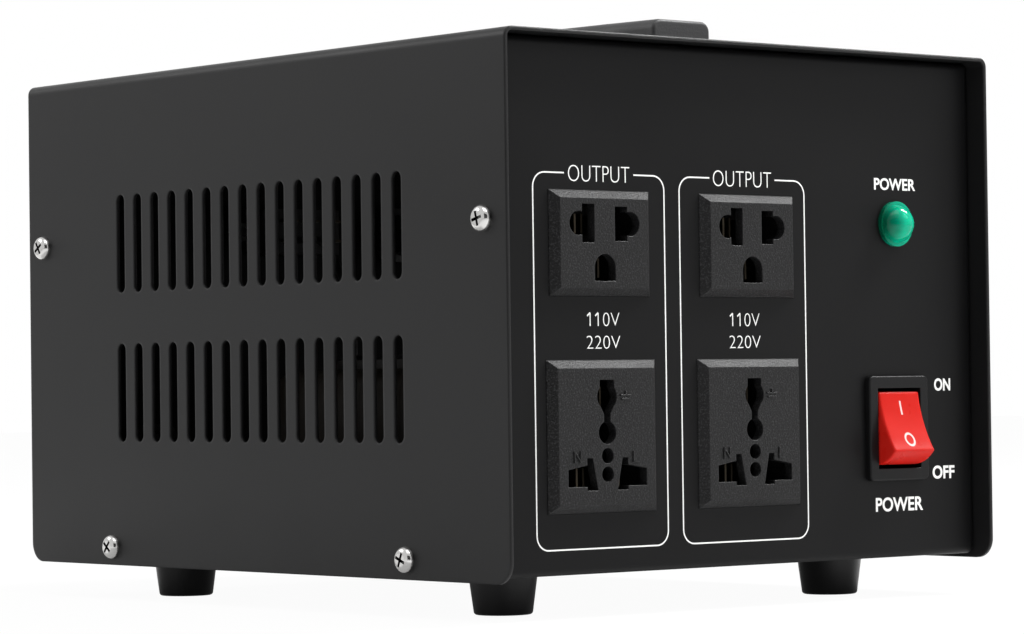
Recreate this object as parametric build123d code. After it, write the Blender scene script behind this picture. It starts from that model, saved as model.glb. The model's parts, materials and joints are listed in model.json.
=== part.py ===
from build123d import *
import os
from math import cos, pi, radians, sin, tan

os.makedirs("parts", exist_ok=True)

# Step-up / step-down transformer box. Millimetres, +Z up, front facing -Y.
# It is drawn about the middle of the cover, and moved at the end so that the origin lies
# on the floor under the middle of the whole box.

# Shared clearances and the overrun that every cut has
overrun = 2.0
slip_gap = 0.15
thread_gap = 0.02
seat_gap = 0.05
moving_gap = 0.3

# Cover: one bent steel sheet
cover_width = 176.0
cover_depth = 220.0
cover_height = 140.0
cover_wall = 1.0
cover_bend_radius = 2.6
cover_corner_radius = 5.5

# Side vents
vent_count = 16
vent_rows = 2
vent_pitch = 8.51
vent_width = 3.9
vent_length = 28.0
vent_row_pitch = 42.55
vent_lower_height = 49.25
vent_offset = -1.8

# Chassis: front panel, floor and rear panel, three trays welded edge to edge
chassis_wall = 1.2
chassis_bend_radius = 1.9
chassis_lift = 1.2
front_recess = 5.8
rear_recess = 4.0
chassis_top_gap = 0.3
flange_depth = 12.0
corner_relief = 3.0

# Feet
foot_height = 10.0
foot_top_radius = 9.2
foot_bottom_radius = 7.7
foot_edge_radius = 0.9
foot_x = 60.0
foot_front_y = -73.2
foot_rear_y = 71.5
foot_recess_radius = 4.4
foot_recess_depth = 5.0

# Foot screws (M4) and nuts
foot_screw_radius = 2.0
foot_screw_head_radius = 3.6
foot_screw_head_height = 2.4
foot_screw_tail = 1.4
foot_nut_flats = 7.0
foot_nut_height = 3.2

# Cover screws (M3.5, pan head, cross recess)
cover_screw_radius = 1.75
cover_screw_head_radius = 3.5
cover_screw_head_height = 2.1
cover_screw_length = 7.0
cover_screw_hole_radius = 1.95
screw_inset = 3.6
upper_screw_height = 92.0
lower_screw_height = 5.2
lower_screw_setback = 42.2

# Cross recess of the pan-head screws
recess_width = 0.8
recess_span = 3.9
recess_depth = 1.2
head_dome_share = 0.85
cover_screw_turns = (14, 33, 68, 51, 24, 77, 8, 40)

# Carry handle
handle_width = 20.9
handle_length = 160.0
handle_end_height = 8.5
handle_crown = 0.8
handle_grip_thickness = 4.7
handle_foot_length = 24.0
handle_corner_radius = 2.8
handle_end_radius = 0.9
handle_gap_radius = 2.0
handle_screw_inset = 11.0

# Handle screws (M5, from inside the cover) and washers
handle_screw_radius = 2.5
handle_screw_head_radius = 4.4
handle_screw_head_height = 3.0
handle_screw_grip = 5.5
handle_hole_depth = 6.0
handle_washer_radius = 7.0
handle_washer_thickness = 1.0

# Outlet columns on the front panel
outlet_left_x = -52.2
outlet_right_x = 0.0
outlet_bevel = 2.2
outlet_thickness = 2.3
outlet_body_inset = 1.6
outlet_wall = 1.5
outlet_face_wall = 2.8
outlet_tab_length = 5.0
outlet_tab_height = 1.0
outlet_tab_span = 8.0
outlet_cutout_gap = 0.2

# Combination outlet (flat blades, round pins, earth)
combo_width = 34.5
combo_height = 27.4
combo_z = 86.1
combo_depth = 19.0
combo_blade_pitch = 11.2
combo_blade_width = 4.2
combo_left_blade_height = 9.95
combo_right_blade_height = 8.9
combo_blade_rise = 5.05
combo_pin_pitch = 17.6
combo_pin_radius = 3.15
combo_earth_width = 7.1
combo_earth_height = 6.95
combo_earth_drop = 6.25

# Universal outlet
universal_width = 37.3
universal_height = 39.4
universal_z = 36.5
universal_depth = 21.0
universal_earth_top_width = 4.9
universal_earth_top = 14.5
universal_earth_rise = 10.2
universal_earth_radius = 3.35
universal_neck_width = 2.2
universal_neck_rise = 5.7
taper_share = 0.95
taper_drop_share = 0.25
universal_lower_rise = 0.95
universal_lower_radius = 2.95
universal_hole_radius = 2.0
universal_hole_drop = 4.97
universal_hole_pitch = 4.76
universal_slot_inner = 3.3
universal_slot_neck = 5.1
universal_slot_outer = 7.0
universal_slot_end = 13.4
universal_slot_top_drop = 5.5
universal_slot_shoulder_drop = 7.3
universal_slot_end_drop = 8.4
universal_slot_step_drop = 12.8
universal_slot_bottom_drop = 13.8

# Sprung contacts in the outlets
contact_leaf = 0.6
contact_gap = 1.6
contact_width = 5.0
contact_setback = 1.2
contact_tail_width = 3.0
contact_tail_length = 7.0
outlet_back_wall = 2.0

# Indicator
lamp_x = 56.3
lamp_z = 93.1
lamp_flange_radius = 6.2
lamp_flange_thickness = 1.2
lamp_dome_radius = 5.35
lamp_dome_height = 4.3
lamp_neck_radius = 4.9
lamp_neck_length = 13.0
lamp_bore_radius = 4.0
lamp_hole_gap = 0.15
lamp_nut_flats = 14.0
lamp_nut_height = 3.5
lamp_bulb_radius = 2.5
lamp_bulb_length = 8.0
lamp_plug_length = 5.0
lamp_pin_radius = 0.6
lamp_pin_length = 6.0
lamp_pin_pitch = 4.0

# Rocker switch
switch_x = 55.5
switch_z = 36.8
bezel_width = 23.0
bezel_height = 28.8
bezel_thickness = 1.8
bezel_radius = 1.6
bezel_edge_radius = 0.5
well_width = 16.7
well_height = 22.1
switch_body_width = 20.0
switch_body_height = 26.4
switch_back_wall = 3.5
switch_tab_height = 0.9
switch_tab_length = 4.0
switch_tab_span = 10.0

# Rocker: a sector about its pivot with a dished face
rocker_width = 15.5
rocker_radius = 10.1
rocker_half_angle = 58.0
rocker_dish = 0.97
rocker_back = 3.0
rocker_rest_angle = 20.5
rocker_pivot_setback = 0.4
rocker_edge_radius = 0.45
rocker_pin_radius = 1.6
rocker_pin_reach = 0.75
rocker_pin_gap = 0.06

# Plunger under the rocker and the rocking contact lever
plunger_radius = 1.3
plunger_length = 4.8
plunger_seat = 2.0
plunger_gap = 0.5
lever_length = 14.0
lever_width = 5.0
lever_thickness = 0.9
lever_rest_angle = 8.0
lever_pivot_radius = 0.9
lever_pin_gap = 0.08
stand_width = 1.2
stand_height = 4.4
stand_rise = 1.7

# Switch terminals
terminal_width = 6.3
terminal_thickness = 0.8
terminal_length = 8.0
terminal_pitch_z = 6.1
contact_button_radius = 1.5
contact_button_height = 0.9

# Rear panel: fuse holder
fuse_x = 45.0
fuse_z = 98.0
fuse_flange_radius = 8.6
fuse_flange_thickness = 2.0
fuse_barrel_radius = 6.3
fuse_bore_radius = 4.6
fuse_bore_floor = 2.0
fuse_hole_gap = 0.15
fuse_nut_flats = 17.0
fuse_nut_height = 4.0
fuse_cap_radius = 6.9
fuse_cap_length = 7.5
fuse_cap_gap = 0.08
fuse_cap_skirt_length = 9.0
fuse_cap_edge_radius = 0.8
fuse_cap_slot_width = 1.6
fuse_cap_slot_depth = 1.6
fuse_radius = 2.6
fuse_glass_radius = 2.35
fuse_length = 20.0
fuse_end_length = 5.5
fuse_fit_gap = 0.1
fuse_tab_width = 4.0
fuse_tab_length = 7.0
fuse_tab_thickness = 0.8

# Rear panel: voltage selector
selector_x = 0.0
selector_z = 98.0
selector_flange_width = 41.0
selector_flange_height = 17.0
selector_flange_thickness = 1.6
selector_flange_radius = 2.0
selector_body_width = 26.0
selector_body_height = 13.6
selector_body_depth = 14.0
selector_window_width = 19.0
selector_window_height = 9.0
selector_knob_width = 9.4
selector_base_height = 10.6
selector_knob_sink = 0.4
selector_base_thickness = 2.4
selector_lip = 2.6
selector_slot_width = 1.6
selector_slot_depth = 1.2
selector_screw_pitch = 33.0
selector_screw_radius = 1.5
selector_screw_head_radius = 2.8
selector_screw_head_height = 1.8
selector_screw_tail = 1.2
selector_screw_turn = 25
selector_nut_flats = 5.5
selector_nut_height = 2.4
selector_tab_width = 2.6
selector_tab_thickness = 0.7
selector_tab_length = 6.0
selector_tab_pitch_x = 8.0
selector_tab_pitch_z = 6.0

# Rear panel: cable gland
gland_x = -50.0
gland_z = 30.0
gland_bore_radius = 4.2
gland_thread_radius = 7.6
gland_thread_length = 9.0
gland_hex_flats = 19.0
gland_hex_length = 5.0
gland_dome_radius = 9.0
gland_dome_end_radius = 6.6
gland_dome_length = 13.0
gland_hole_gap = 0.15
gland_nut_flats = 19.0
gland_nut_height = 4.5
gland_spigot_share = 0.6

# Transformer: a wound ring on rubber pads
ring_y = 4.0
ring_outer_radius = 63.0
ring_inner_radius = 21.0
ring_height = 50.0
ring_edge_radius = 9.0
pad_radius = 46.0
pad_thickness = 2.6
dish_radius = 40.0
dish_thickness = 1.4
dish_drop = 5.0
dish_flat_radius = 12.0
ring_bolt_radius = 4.0
ring_bolt_head_flats = 13.0
ring_bolt_head_height = 5.0
ring_bolt_tail = 3.0
ring_nut_flats = 13.0
ring_nut_height = 6.5

# Terminal block on the floor
block_x = 28.0
block_y = -78.0
block_length = 30.0
block_width = 18.0
block_height = 14.0
block_ways = 3
block_way_pitch = 10.0
block_bore_radius = 2.3
block_screw_radius = 1.8
block_screw_height = 3.0
block_screw_slot_width = 0.7
block_screw_slot_depth = 0.9
block_post_radius = 1.7

# Earth stud
stud_x = -66.0
stud_y = 84.0
stud_radius = 2.0
stud_length = 14.0
stud_head_radius = 3.8
stud_head_height = 2.2
stud_nut_flats = 7.0
stud_nut_height = 3.2

# Leads inside the case
lead_radius = 1.2
lead_landing_radius = 50.0
lead_bend_share = 0.45
lead_exit = 13.0
lead_link_exit = 8.0
lead_drop = 19.0

# Levels and planes derived from the sizes above
cover_bottom = foot_height
cover_top = cover_bottom + cover_height
cover_front = -cover_depth / 2
cover_back = cover_depth / 2
cover_side = cover_width / 2
inner_side = cover_side - cover_wall
inner_top = cover_top - cover_wall
floor_bottom = cover_bottom + chassis_lift
floor_top = floor_bottom + chassis_wall
panel_front = cover_front + front_recess
panel_back = panel_front + chassis_wall
rear_face = cover_back - rear_recess
rear_inner = rear_face - chassis_wall
chassis_top = inner_top - chassis_top_gap
outlet_face = panel_front - outlet_thickness


# Shapes


def block(x0, x1, y0, y1, z0, z1):
    """A box between two opposite corners."""
    centre = Pos((x0 + x1) / 2, (y0 + y1) / 2, (z0 + z1) / 2)
    return centre * Box(x1 - x0, y1 - y0, z1 - z0)


def rod_x(radius, x0, x1, y, z):
    return Pos((x0 + x1) / 2, y, z) * Rot(0, 90, 0) * Cylinder(radius, x1 - x0)


def rod_y(radius, y0, y1, x, z):
    return Pos(x, (y0 + y1) / 2, z) * Rot(90, 0, 0) * Cylinder(radius, y1 - y0)


def rod_z(radius, z0, z1, x, y):
    return Pos(x, y, (z0 + z1) / 2) * Cylinder(radius, z1 - z0)


def wall_y(sketch, y0, y1, x, z):
    """A flat outline, drawn as seen from the front, between two depths."""
    plane = Plane(origin=(x, y1, z), x_dir=(1, 0, 0), z_dir=(0, -1, 0))
    return extrude(plane * sketch, amount=y1 - y0)


def wall_x(sketch, x0, x1, y, z):
    """A side outline (Y across, Z up) between two widths."""
    plane = Plane(origin=(x0, y, z), x_dir=(0, 1, 0), z_dir=(1, 0, 0))
    return extrude(plane * sketch, amount=x1 - x0)


def hexagon(flats):
    return RegularPolygon(flats / 2, 6, major_radius=False)


def hex_z(flats, z0, z1, x, y):
    return Pos(x, y, z0) * extrude(hexagon(flats), amount=z1 - z0)


def hex_y(flats, y0, y1, x, z):
    return wall_y(hexagon(flats), y0, y1, x, z)


def near(value, target):
    return abs(value - target) < seat_gap


def pan_screw(radius, length, head_radius, head_height):
    """Cross-recess screw along Z: the head stands on Z zero, the shank hangs below."""
    head = extrude(Circle(head_radius), amount=head_height)
    rim = head.edges().filter_by(lambda e: near(e.center().Z, head_height))
    head = fillet(rim, head_height * head_dome_share)
    scale = head_radius / cover_screw_head_radius
    span, width, depth = recess_span * scale, recess_width * scale, recess_depth * scale
    cross = Rectangle(span, width) + Rectangle(width, span)
    head -= Pos(0, 0, head_height - depth) * extrude(cross, amount=depth + overrun)
    return head + Pos(0, 0, -length) * extrude(Circle(radius), amount=length)


def facing(x, y, z, direction, turn):
    """The place of a screw whose head looks along the direction, turned about it."""
    side = (0, 1, 0) if direction[1] == 0 else (1, 0, 0)
    return Plane(origin=(x, y, z), x_dir=side, z_dir=direction).location * Rot(0, 0, turn)


nodes = {}


def save(name, shape):
    nodes[name] = [shape]


def save_group(name, shapes):
    nodes[name] = list(shapes)


# Cover


def vent_places():
    for row in range(vent_rows):
        for index in range(vent_count):
            y = vent_offset + (index - (vent_count - 1) / 2) * vent_pitch
            z = cover_bottom + vent_lower_height + row * vent_row_pitch
            yield y, z


def cover_screw_places():
    upper = cover_bottom + upper_screw_height
    lower = cover_bottom + lower_screw_height
    return [
        (panel_front + screw_inset, upper),
        (rear_face - screw_inset, upper),
        (cover_front + lower_screw_setback, lower),
        (cover_back - lower_screw_setback, lower),
    ]


def handle_screw_places():
    reach = handle_length / 2 - handle_screw_inset
    return [-reach, reach]


def make_cover():
    side = Rectangle(cover_depth, cover_height)
    side = fillet(side.vertices().group_by(Axis.Y)[0], cover_corner_radius)
    shell = wall_x(side, -cover_side, cover_side, 0, (cover_bottom + cover_top) / 2)
    bends = shell.edges().filter_by(Axis.Y).filter_by(lambda e: near(e.center().Z, cover_top))
    shell = fillet(bends, cover_bend_radius)
    inside = block(-inner_side, inner_side, cover_front - overrun, cover_back + overrun,
                   cover_bottom - overrun, inner_top)
    bends = inside.edges().filter_by(Axis.Y).filter_by(lambda e: near(e.center().Z, inner_top))
    shell -= fillet(bends, cover_bend_radius - cover_wall)
    slots = [Pos(y, z) * SlotOverall(vent_length, vent_width, rotation=90) for y, z in vent_places()]
    shell -= wall_x(Sketch() + slots, -cover_side - overrun, cover_side + overrun, 0, 0)
    for y, z in cover_screw_places():
        shell -= rod_x(cover_screw_hole_radius, -cover_side - overrun, cover_side + overrun, y, z)
    for y in handle_screw_places():
        shell -= rod_z(handle_screw_radius + slip_gap, inner_top - overrun, cover_top + overrun, 0, y)
    return shell


def make_cover_screws():
    screws = []
    turns = iter(cover_screw_turns)
    for sign in (-1, 1):
        for y, z in cover_screw_places():
            screw = pan_screw(cover_screw_radius, cover_screw_length,
                              cover_screw_head_radius, cover_screw_head_height)
            screws.append(facing(sign * cover_side, y, z, (sign, 0, 0), next(turns)) * screw)
    return screws


# Outlets


def slot_outline(points):
    return make_face(Polyline(points, close=True))


def combo_holes():
    """Two flat-blade slots merged with round pin holes, and the earth hole."""
    holes = Sketch()
    for sign, height in ((-1, combo_left_blade_height), (1, combo_right_blade_height)):
        blade_x = sign * combo_blade_pitch / 2
        holes += Pos(blade_x, combo_blade_rise) * Rectangle(combo_blade_width, height)
        holes += Pos(sign * combo_pin_pitch / 2, combo_blade_rise) * Circle(combo_pin_radius)
    earth_radius = combo_earth_width / 2
    arch_rise = combo_earth_height / 2 - earth_radius
    holes += Pos(0, -combo_earth_drop + arch_rise) * Circle(earth_radius)
    block_height = combo_earth_height / 2 + arch_rise
    block_rise = (arch_rise - combo_earth_height / 2) / 2
    holes += Pos(0, -combo_earth_drop + block_rise) * Rectangle(combo_earth_width, block_height)
    return holes


def universal_holes():
    """Keyhole earth slot, two small holes and two stepped line slots."""
    cap_height = universal_earth_top - universal_earth_rise
    holes = Sketch() + Pos(0, universal_earth_rise + cap_height / 2) * Rectangle(
        universal_earth_top_width, cap_height)
    holes += Pos(0, universal_earth_rise) * Circle(universal_earth_radius)
    wide = universal_earth_radius * taper_share
    narrow = universal_neck_width / 2
    taper_top = universal_earth_rise - universal_earth_radius * taper_drop_share
    holes += slot_outline([
        (-wide, taper_top), (wide, taper_top), (narrow, universal_neck_rise),
        (narrow, universal_lower_rise), (-narrow, universal_lower_rise),
        (-narrow, universal_neck_rise)])
    holes += Pos(0, universal_lower_rise) * Circle(universal_lower_radius)
    for index in range(2):
        drop = universal_hole_drop + index * universal_hole_pitch
        holes += Pos(0, -drop) * Circle(universal_hole_radius)
    for sign in (-1, 1):
        holes += slot_outline([
            (sign * universal_slot_neck, -universal_slot_top_drop),
            (sign * universal_slot_outer, -universal_slot_top_drop),
            (sign * universal_slot_outer, -universal_slot_shoulder_drop),
            (sign * universal_slot_end, -universal_slot_end_drop),
            (sign * universal_slot_end, -universal_slot_step_drop),
            (sign * universal_slot_outer, -universal_slot_step_drop),
            (sign * universal_slot_outer, -universal_slot_bottom_drop),
            (sign * universal_slot_inner, -universal_slot_bottom_drop)])
    return holes


combo_poles = [
    (-combo_blade_pitch / 2, combo_blade_rise),
    (combo_blade_pitch / 2, combo_blade_rise),
    (0, -combo_earth_drop),
]
universal_line_x = (universal_slot_outer + universal_slot_neck) / 2
universal_line_drop = (universal_slot_end_drop + universal_slot_step_drop) / 2
universal_poles = [
    (-universal_line_x, -universal_line_drop),
    (universal_line_x, -universal_line_drop),
    (0, universal_earth_rise),
]

outlet_kinds = {
    "combo": (combo_width, combo_height, combo_depth, cover_bottom + combo_z, combo_poles),
    "universal": (universal_width, universal_height, universal_depth,
                  cover_bottom + universal_z, universal_poles),
}
outlet_columns = {"left": outlet_left_x, "right": outlet_right_x}


def bevel_plate(width, height, x, z):
    foot = Plane(origin=(x, panel_front, z), x_dir=(1, 0, 0), z_dir=(0, -1, 0))
    face = Plane(origin=(x, outlet_face, z), x_dir=(1, 0, 0), z_dir=(0, -1, 0))
    inset = 2 * outlet_bevel
    return loft([foot * Rectangle(width, height), face * Rectangle(width - inset, height - inset)])


def make_outlet_body(width, height, depth, x, z, holes):
    half_w = width / 2 - outlet_body_inset
    half_h = height / 2 - outlet_body_inset
    back = panel_front + depth
    body = bevel_plate(width, height, x, z)
    body += block(x - half_w, x + half_w, panel_front, back, z - half_h, z + half_h)
    for sign in (-1, 1):
        catch = make_face(Polyline([
            (sign * (half_w - outlet_tab_height), panel_back + slip_gap),
            (sign * (half_w + outlet_tab_height), panel_back + slip_gap),
            (sign * (half_w - outlet_tab_height), panel_back + slip_gap + outlet_tab_length),
        ], close=True))
        low = z - outlet_tab_span / 2
        body += Pos(x, 0, low) * extrude(catch, amount=outlet_tab_span, dir=(0, 0, 1))
    room = outlet_face + outlet_face_wall
    body -= block(x - half_w + outlet_wall, x + half_w - outlet_wall, room, back + overrun,
                  z - half_h + outlet_wall, z + half_h - outlet_wall)
    return body - wall_y(holes, outlet_face - overrun, room + seat_gap, x, z)


def make_outlet_contacts(depth, x, z, poles):
    """One sprung clip with a solder tail for each pole."""
    front = outlet_face + outlet_face_wall + contact_setback
    back = panel_front + depth
    half_gap = contact_gap / 2
    clips = []
    for pole_x, pole_z in poles:
        px, pz = x + pole_x, z + pole_z
        low, high = pz - contact_width / 2, pz + contact_width / 2
        side = half_gap + contact_leaf
        clip = block(px - side, px + side, back - contact_leaf, back, low, high)
        clip += block(px - side, px - half_gap, front, back, low, high)
        clip += block(px + half_gap, px + side, front, back, low, high)
        tail_end = back + outlet_back_wall + contact_tail_length
        half_tail = contact_tail_width / 2
        clip += block(px - contact_leaf / 2, px + contact_leaf / 2, back - contact_leaf, tail_end,
                      pz - half_tail, pz + half_tail)
        clips.append(clip)
    return clips


def make_outlet_back(width, height, depth, x, z, poles):
    half_w = width / 2 - outlet_body_inset
    half_h = height / 2 - outlet_body_inset
    back = panel_front + depth
    lid = block(x - half_w, x + half_w, back, back + outlet_back_wall, z - half_h, z + half_h)
    for pole_x, pole_z in poles:
        px, pz = x + pole_x, z + pole_z
        half_x = contact_leaf / 2 + seat_gap
        half_z = contact_tail_width / 2 + seat_gap
        lid -= block(px - half_x, px + half_x, back - overrun, back + outlet_back_wall + overrun,
                     pz - half_z, pz + half_z)
    return lid


# Chassis


def front_cutouts():
    cuts = []
    for width, height, depth, z, poles in outlet_kinds.values():
        for x in outlet_columns.values():
            half_w = width / 2 - outlet_body_inset + outlet_cutout_gap
            half_h = height / 2 - outlet_body_inset + outlet_cutout_gap
            cuts.append(block(x - half_w, x + half_w, panel_front - overrun, panel_back + overrun,
                              z - half_h, z + half_h))
    half_w = switch_body_width / 2 + outlet_cutout_gap
    half_h = switch_body_height / 2 + outlet_cutout_gap
    z = cover_bottom + switch_z
    cuts.append(block(switch_x - half_w, switch_x + half_w, panel_front - overrun,
                      panel_back + overrun, z - half_h, z + half_h))
    cuts.append(rod_y(lamp_neck_radius + lamp_hole_gap, panel_front - overrun,
                      panel_back + overrun, lamp_x, cover_bottom + lamp_z))
    return cuts


def rear_cutouts():
    y0, y1 = rear_inner - overrun, rear_face + overrun
    cuts = [
        rod_y(fuse_barrel_radius + fuse_hole_gap, y0, y1, fuse_x, cover_bottom + fuse_z),
        rod_y(gland_thread_radius + gland_hole_gap, y0, y1, gland_x, cover_bottom + gland_z),
    ]
    half_w = selector_body_width / 2 + outlet_cutout_gap
    half_h = selector_body_height / 2 + outlet_cutout_gap
    z = cover_bottom + selector_z
    cuts.append(block(selector_x - half_w, selector_x + half_w, y0, y1, z - half_h, z + half_h))
    for sign in (-1, 1):
        cuts.append(rod_y(selector_screw_radius + slip_gap, y0, y1,
                          selector_x + sign * selector_screw_pitch / 2, z))
    return cuts


def foot_places():
    return {
        "foot_front_left": (-foot_x, foot_front_y),
        "foot_front_right": (foot_x, foot_front_y),
        "foot_rear_left": (-foot_x, foot_rear_y),
        "foot_rear_right": (foot_x, foot_rear_y),
    }


def floor_cutouts():
    z0, z1 = floor_bottom - overrun, floor_top + overrun
    cuts = [rod_z(foot_screw_radius + slip_gap, z0, z1, x, y) for x, y in foot_places().values()]
    cuts.append(rod_z(ring_bolt_radius + slip_gap, z0, z1, 0, ring_y))
    return cuts


def make_chassis():
    tray = block(-inner_side, inner_side, panel_front, rear_face, floor_bottom, chassis_top)
    tray = fillet(tray.edges(), chassis_bend_radius)
    wall = chassis_wall
    inside = block(-inner_side + wall, inner_side - wall, panel_back, rear_inner,
                   floor_top, chassis_top - wall)
    tray -= fillet(inside.edges(), chassis_bend_radius - wall)
    tray -= block(-cover_side, cover_side, panel_front + flange_depth, rear_face - flange_depth,
                  floor_bottom + flange_depth, chassis_top + overrun)
    for x in (-inner_side, inner_side):
        for y0, y1 in ((panel_back + wall, panel_front + flange_depth + overrun),
                       (rear_face - flange_depth - overrun, rear_inner - wall)):
            tray -= block(x - corner_relief, x + corner_relief, y0, y1,
                          chassis_top - corner_relief, chassis_top + overrun)
    for cut in front_cutouts() + rear_cutouts() + floor_cutouts():
        tray -= cut
    for y, z in cover_screw_places():
        tray -= rod_x(cover_screw_radius + thread_gap, -cover_side, cover_side, y, z)
    return tray


front_seam = panel_front + flange_depth
rear_seam = rear_face - flange_depth


def between_seams(tray, y0, y1):
    return tray & block(-cover_side, cover_side, y0, y1, floor_bottom - overrun, chassis_top + overrun)


# Feet


def make_foot(x, y):
    cone = Plane.XY * Circle(foot_bottom_radius)
    top = Plane.XY.offset(floor_bottom) * Circle(foot_top_radius)
    foot = loft([cone, top])
    rim = foot.edges().filter_by(lambda e: near(e.center().Z, 0))
    foot = fillet(rim, foot_edge_radius)
    foot -= rod_z(foot_recess_radius, -overrun, foot_recess_depth, 0, 0)
    foot -= rod_z(foot_screw_radius + slip_gap, 0, floor_bottom + overrun, 0, 0)
    return Pos(x, y, 0) * foot


def make_foot_screws():
    nut_top = floor_top + foot_nut_height
    length = nut_top + foot_screw_tail - foot_recess_depth
    screws = []
    for x, y in foot_places().values():
        screw = pan_screw(foot_screw_radius, length, foot_screw_head_radius, foot_screw_head_height)
        screws.append(facing(x, y, foot_recess_depth, (0, 0, -1), 0) * screw)
    return screws


def make_foot_nuts():
    nuts = []
    for x, y in foot_places().values():
        nut = hex_z(foot_nut_flats, floor_top, floor_top + foot_nut_height, x, y)
        nuts.append(nut - rod_z(foot_screw_radius + thread_gap, floor_bottom, chassis_top, x, y))
    return nuts


# Handle


def make_handle():
    half = handle_length / 2
    crown = handle_end_height + handle_crown
    outline = make_face([
        Line((-half, 0), (half, 0)),
        Line((half, 0), (half, handle_end_height)),
        ThreePointArc((half, handle_end_height), (0, crown), (-half, handle_end_height)),
        Line((-half, handle_end_height), (-half, 0)),
    ])
    side = handle_width / 2
    handle = wall_x(outline, -side, side, 0, cover_top)
    long_edges = handle.edges().filter_by(
        lambda e: e.length > handle_width * 2 and e.center().Z > cover_top + handle_grip_thickness)
    handle = fillet(long_edges, handle_corner_radius)
    ends = handle.edges().filter_by(
        lambda e: near(abs(e.center().Y), half) and e.center().Z > cover_top + seat_gap)
    handle = fillet(ends, handle_end_radius)
    gap_half = half - handle_foot_length
    gap_top = crown - handle_grip_thickness
    gap = Pos(0, 0) * Rectangle(2 * gap_half, 2 * gap_top)
    gap = fillet(gap.vertices(), handle_gap_radius)
    handle -= wall_x(gap, -side - overrun, side + overrun, 0, cover_top)
    for y in handle_screw_places():
        handle -= rod_z(handle_screw_radius + thread_gap, cover_top - overrun,
                        cover_top + handle_hole_depth, 0, y)
    return handle


def make_handle_screws():
    under = inner_top - handle_washer_thickness
    length = handle_screw_grip + cover_wall + handle_washer_thickness
    screws = []
    for y in handle_screw_places():
        screw = pan_screw(handle_screw_radius, length, handle_screw_head_radius,
                          handle_screw_head_height)
        screws.append(facing(0, y, under, (0, 0, -1), 0) * screw)
    return screws


def make_handle_washers():
    washers = []
    for y in handle_screw_places():
        washer = rod_z(handle_washer_radius, inner_top - handle_washer_thickness, inner_top, 0, y)
        washers.append(washer - rod_z(handle_screw_radius + slip_gap, cover_bottom, cover_top, 0, y))
    return washers


# Indicator


lamp_height = cover_bottom + lamp_z
lamp_flange_front = panel_front - lamp_flange_thickness
lamp_neck_end = panel_front + lamp_neck_length


def make_lamp_lens():
    ball = (lamp_dome_radius ** 2 + lamp_dome_height ** 2) / (2 * lamp_dome_height)
    centre = lamp_flange_front + ball - lamp_dome_height
    dome = Pos(lamp_x, centre, lamp_height) * Sphere(ball)
    dome -= block(lamp_x - 2 * ball, lamp_x + 2 * ball, lamp_flange_front, centre + 2 * ball,
                  lamp_height - 2 * ball, lamp_height + 2 * ball)
    flange = rod_y(lamp_flange_radius, lamp_flange_front, panel_front, lamp_x, lamp_height)
    lens = dome + flange + rod_y(lamp_neck_radius, panel_front, lamp_neck_end, lamp_x, lamp_height)
    bore = rod_y(lamp_bore_radius, lamp_flange_front, lamp_neck_end + overrun, lamp_x, lamp_height)
    bore += Pos(lamp_x, lamp_flange_front, lamp_height) * Sphere(lamp_bore_radius)
    return lens - bore


def make_lamp_nut():
    nut = hex_y(lamp_nut_flats, panel_back, panel_back + lamp_nut_height, lamp_x, lamp_height)
    return nut - rod_y(lamp_neck_radius + thread_gap, panel_front, lamp_neck_end, lamp_x, lamp_height)


lamp_plug_front = lamp_neck_end - lamp_plug_length
lamp_pin_places = (-lamp_pin_pitch / 2, lamp_pin_pitch / 2)


def make_lamp_plug():
    plug = rod_y(lamp_bore_radius - seat_gap, lamp_plug_front, lamp_neck_end, lamp_x, lamp_height)
    for offset in lamp_pin_places:
        plug -= rod_y(lamp_pin_radius, lamp_plug_front + lamp_plug_length / 2,
                      lamp_neck_end + overrun, lamp_x + offset, lamp_height)
    return plug


def make_lamp_pins():
    return [rod_y(lamp_pin_radius, lamp_plug_front + lamp_plug_length / 2,
                  lamp_neck_end + lamp_pin_length, lamp_x + offset, lamp_height)
            for offset in lamp_pin_places]


def make_lamp_bulb():
    tip = lamp_plug_front - lamp_bulb_length + lamp_bulb_radius
    bulb = rod_y(lamp_bulb_radius, tip, lamp_plug_front, lamp_x, lamp_height)
    return bulb + Pos(lamp_x, tip, lamp_height) * Sphere(lamp_bulb_radius)


# Rocker switch


switch_height = cover_bottom + switch_z
bezel_front = panel_front - bezel_thickness
pivot_y = panel_front + rocker_pivot_setback
plunger_tip = pivot_y + rocker_back + plunger_length
lever_y = plunger_tip + plunger_gap + lever_thickness / 2
lever_rise = (lever_length / 2) * sin(radians(lever_rest_angle))
lever_reach = lever_rise + lever_thickness / (2 * cos(radians(lever_rest_angle)))
well_floor = lever_y + lever_reach + moving_gap + contact_button_height
switch_end = well_floor + switch_back_wall


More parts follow.
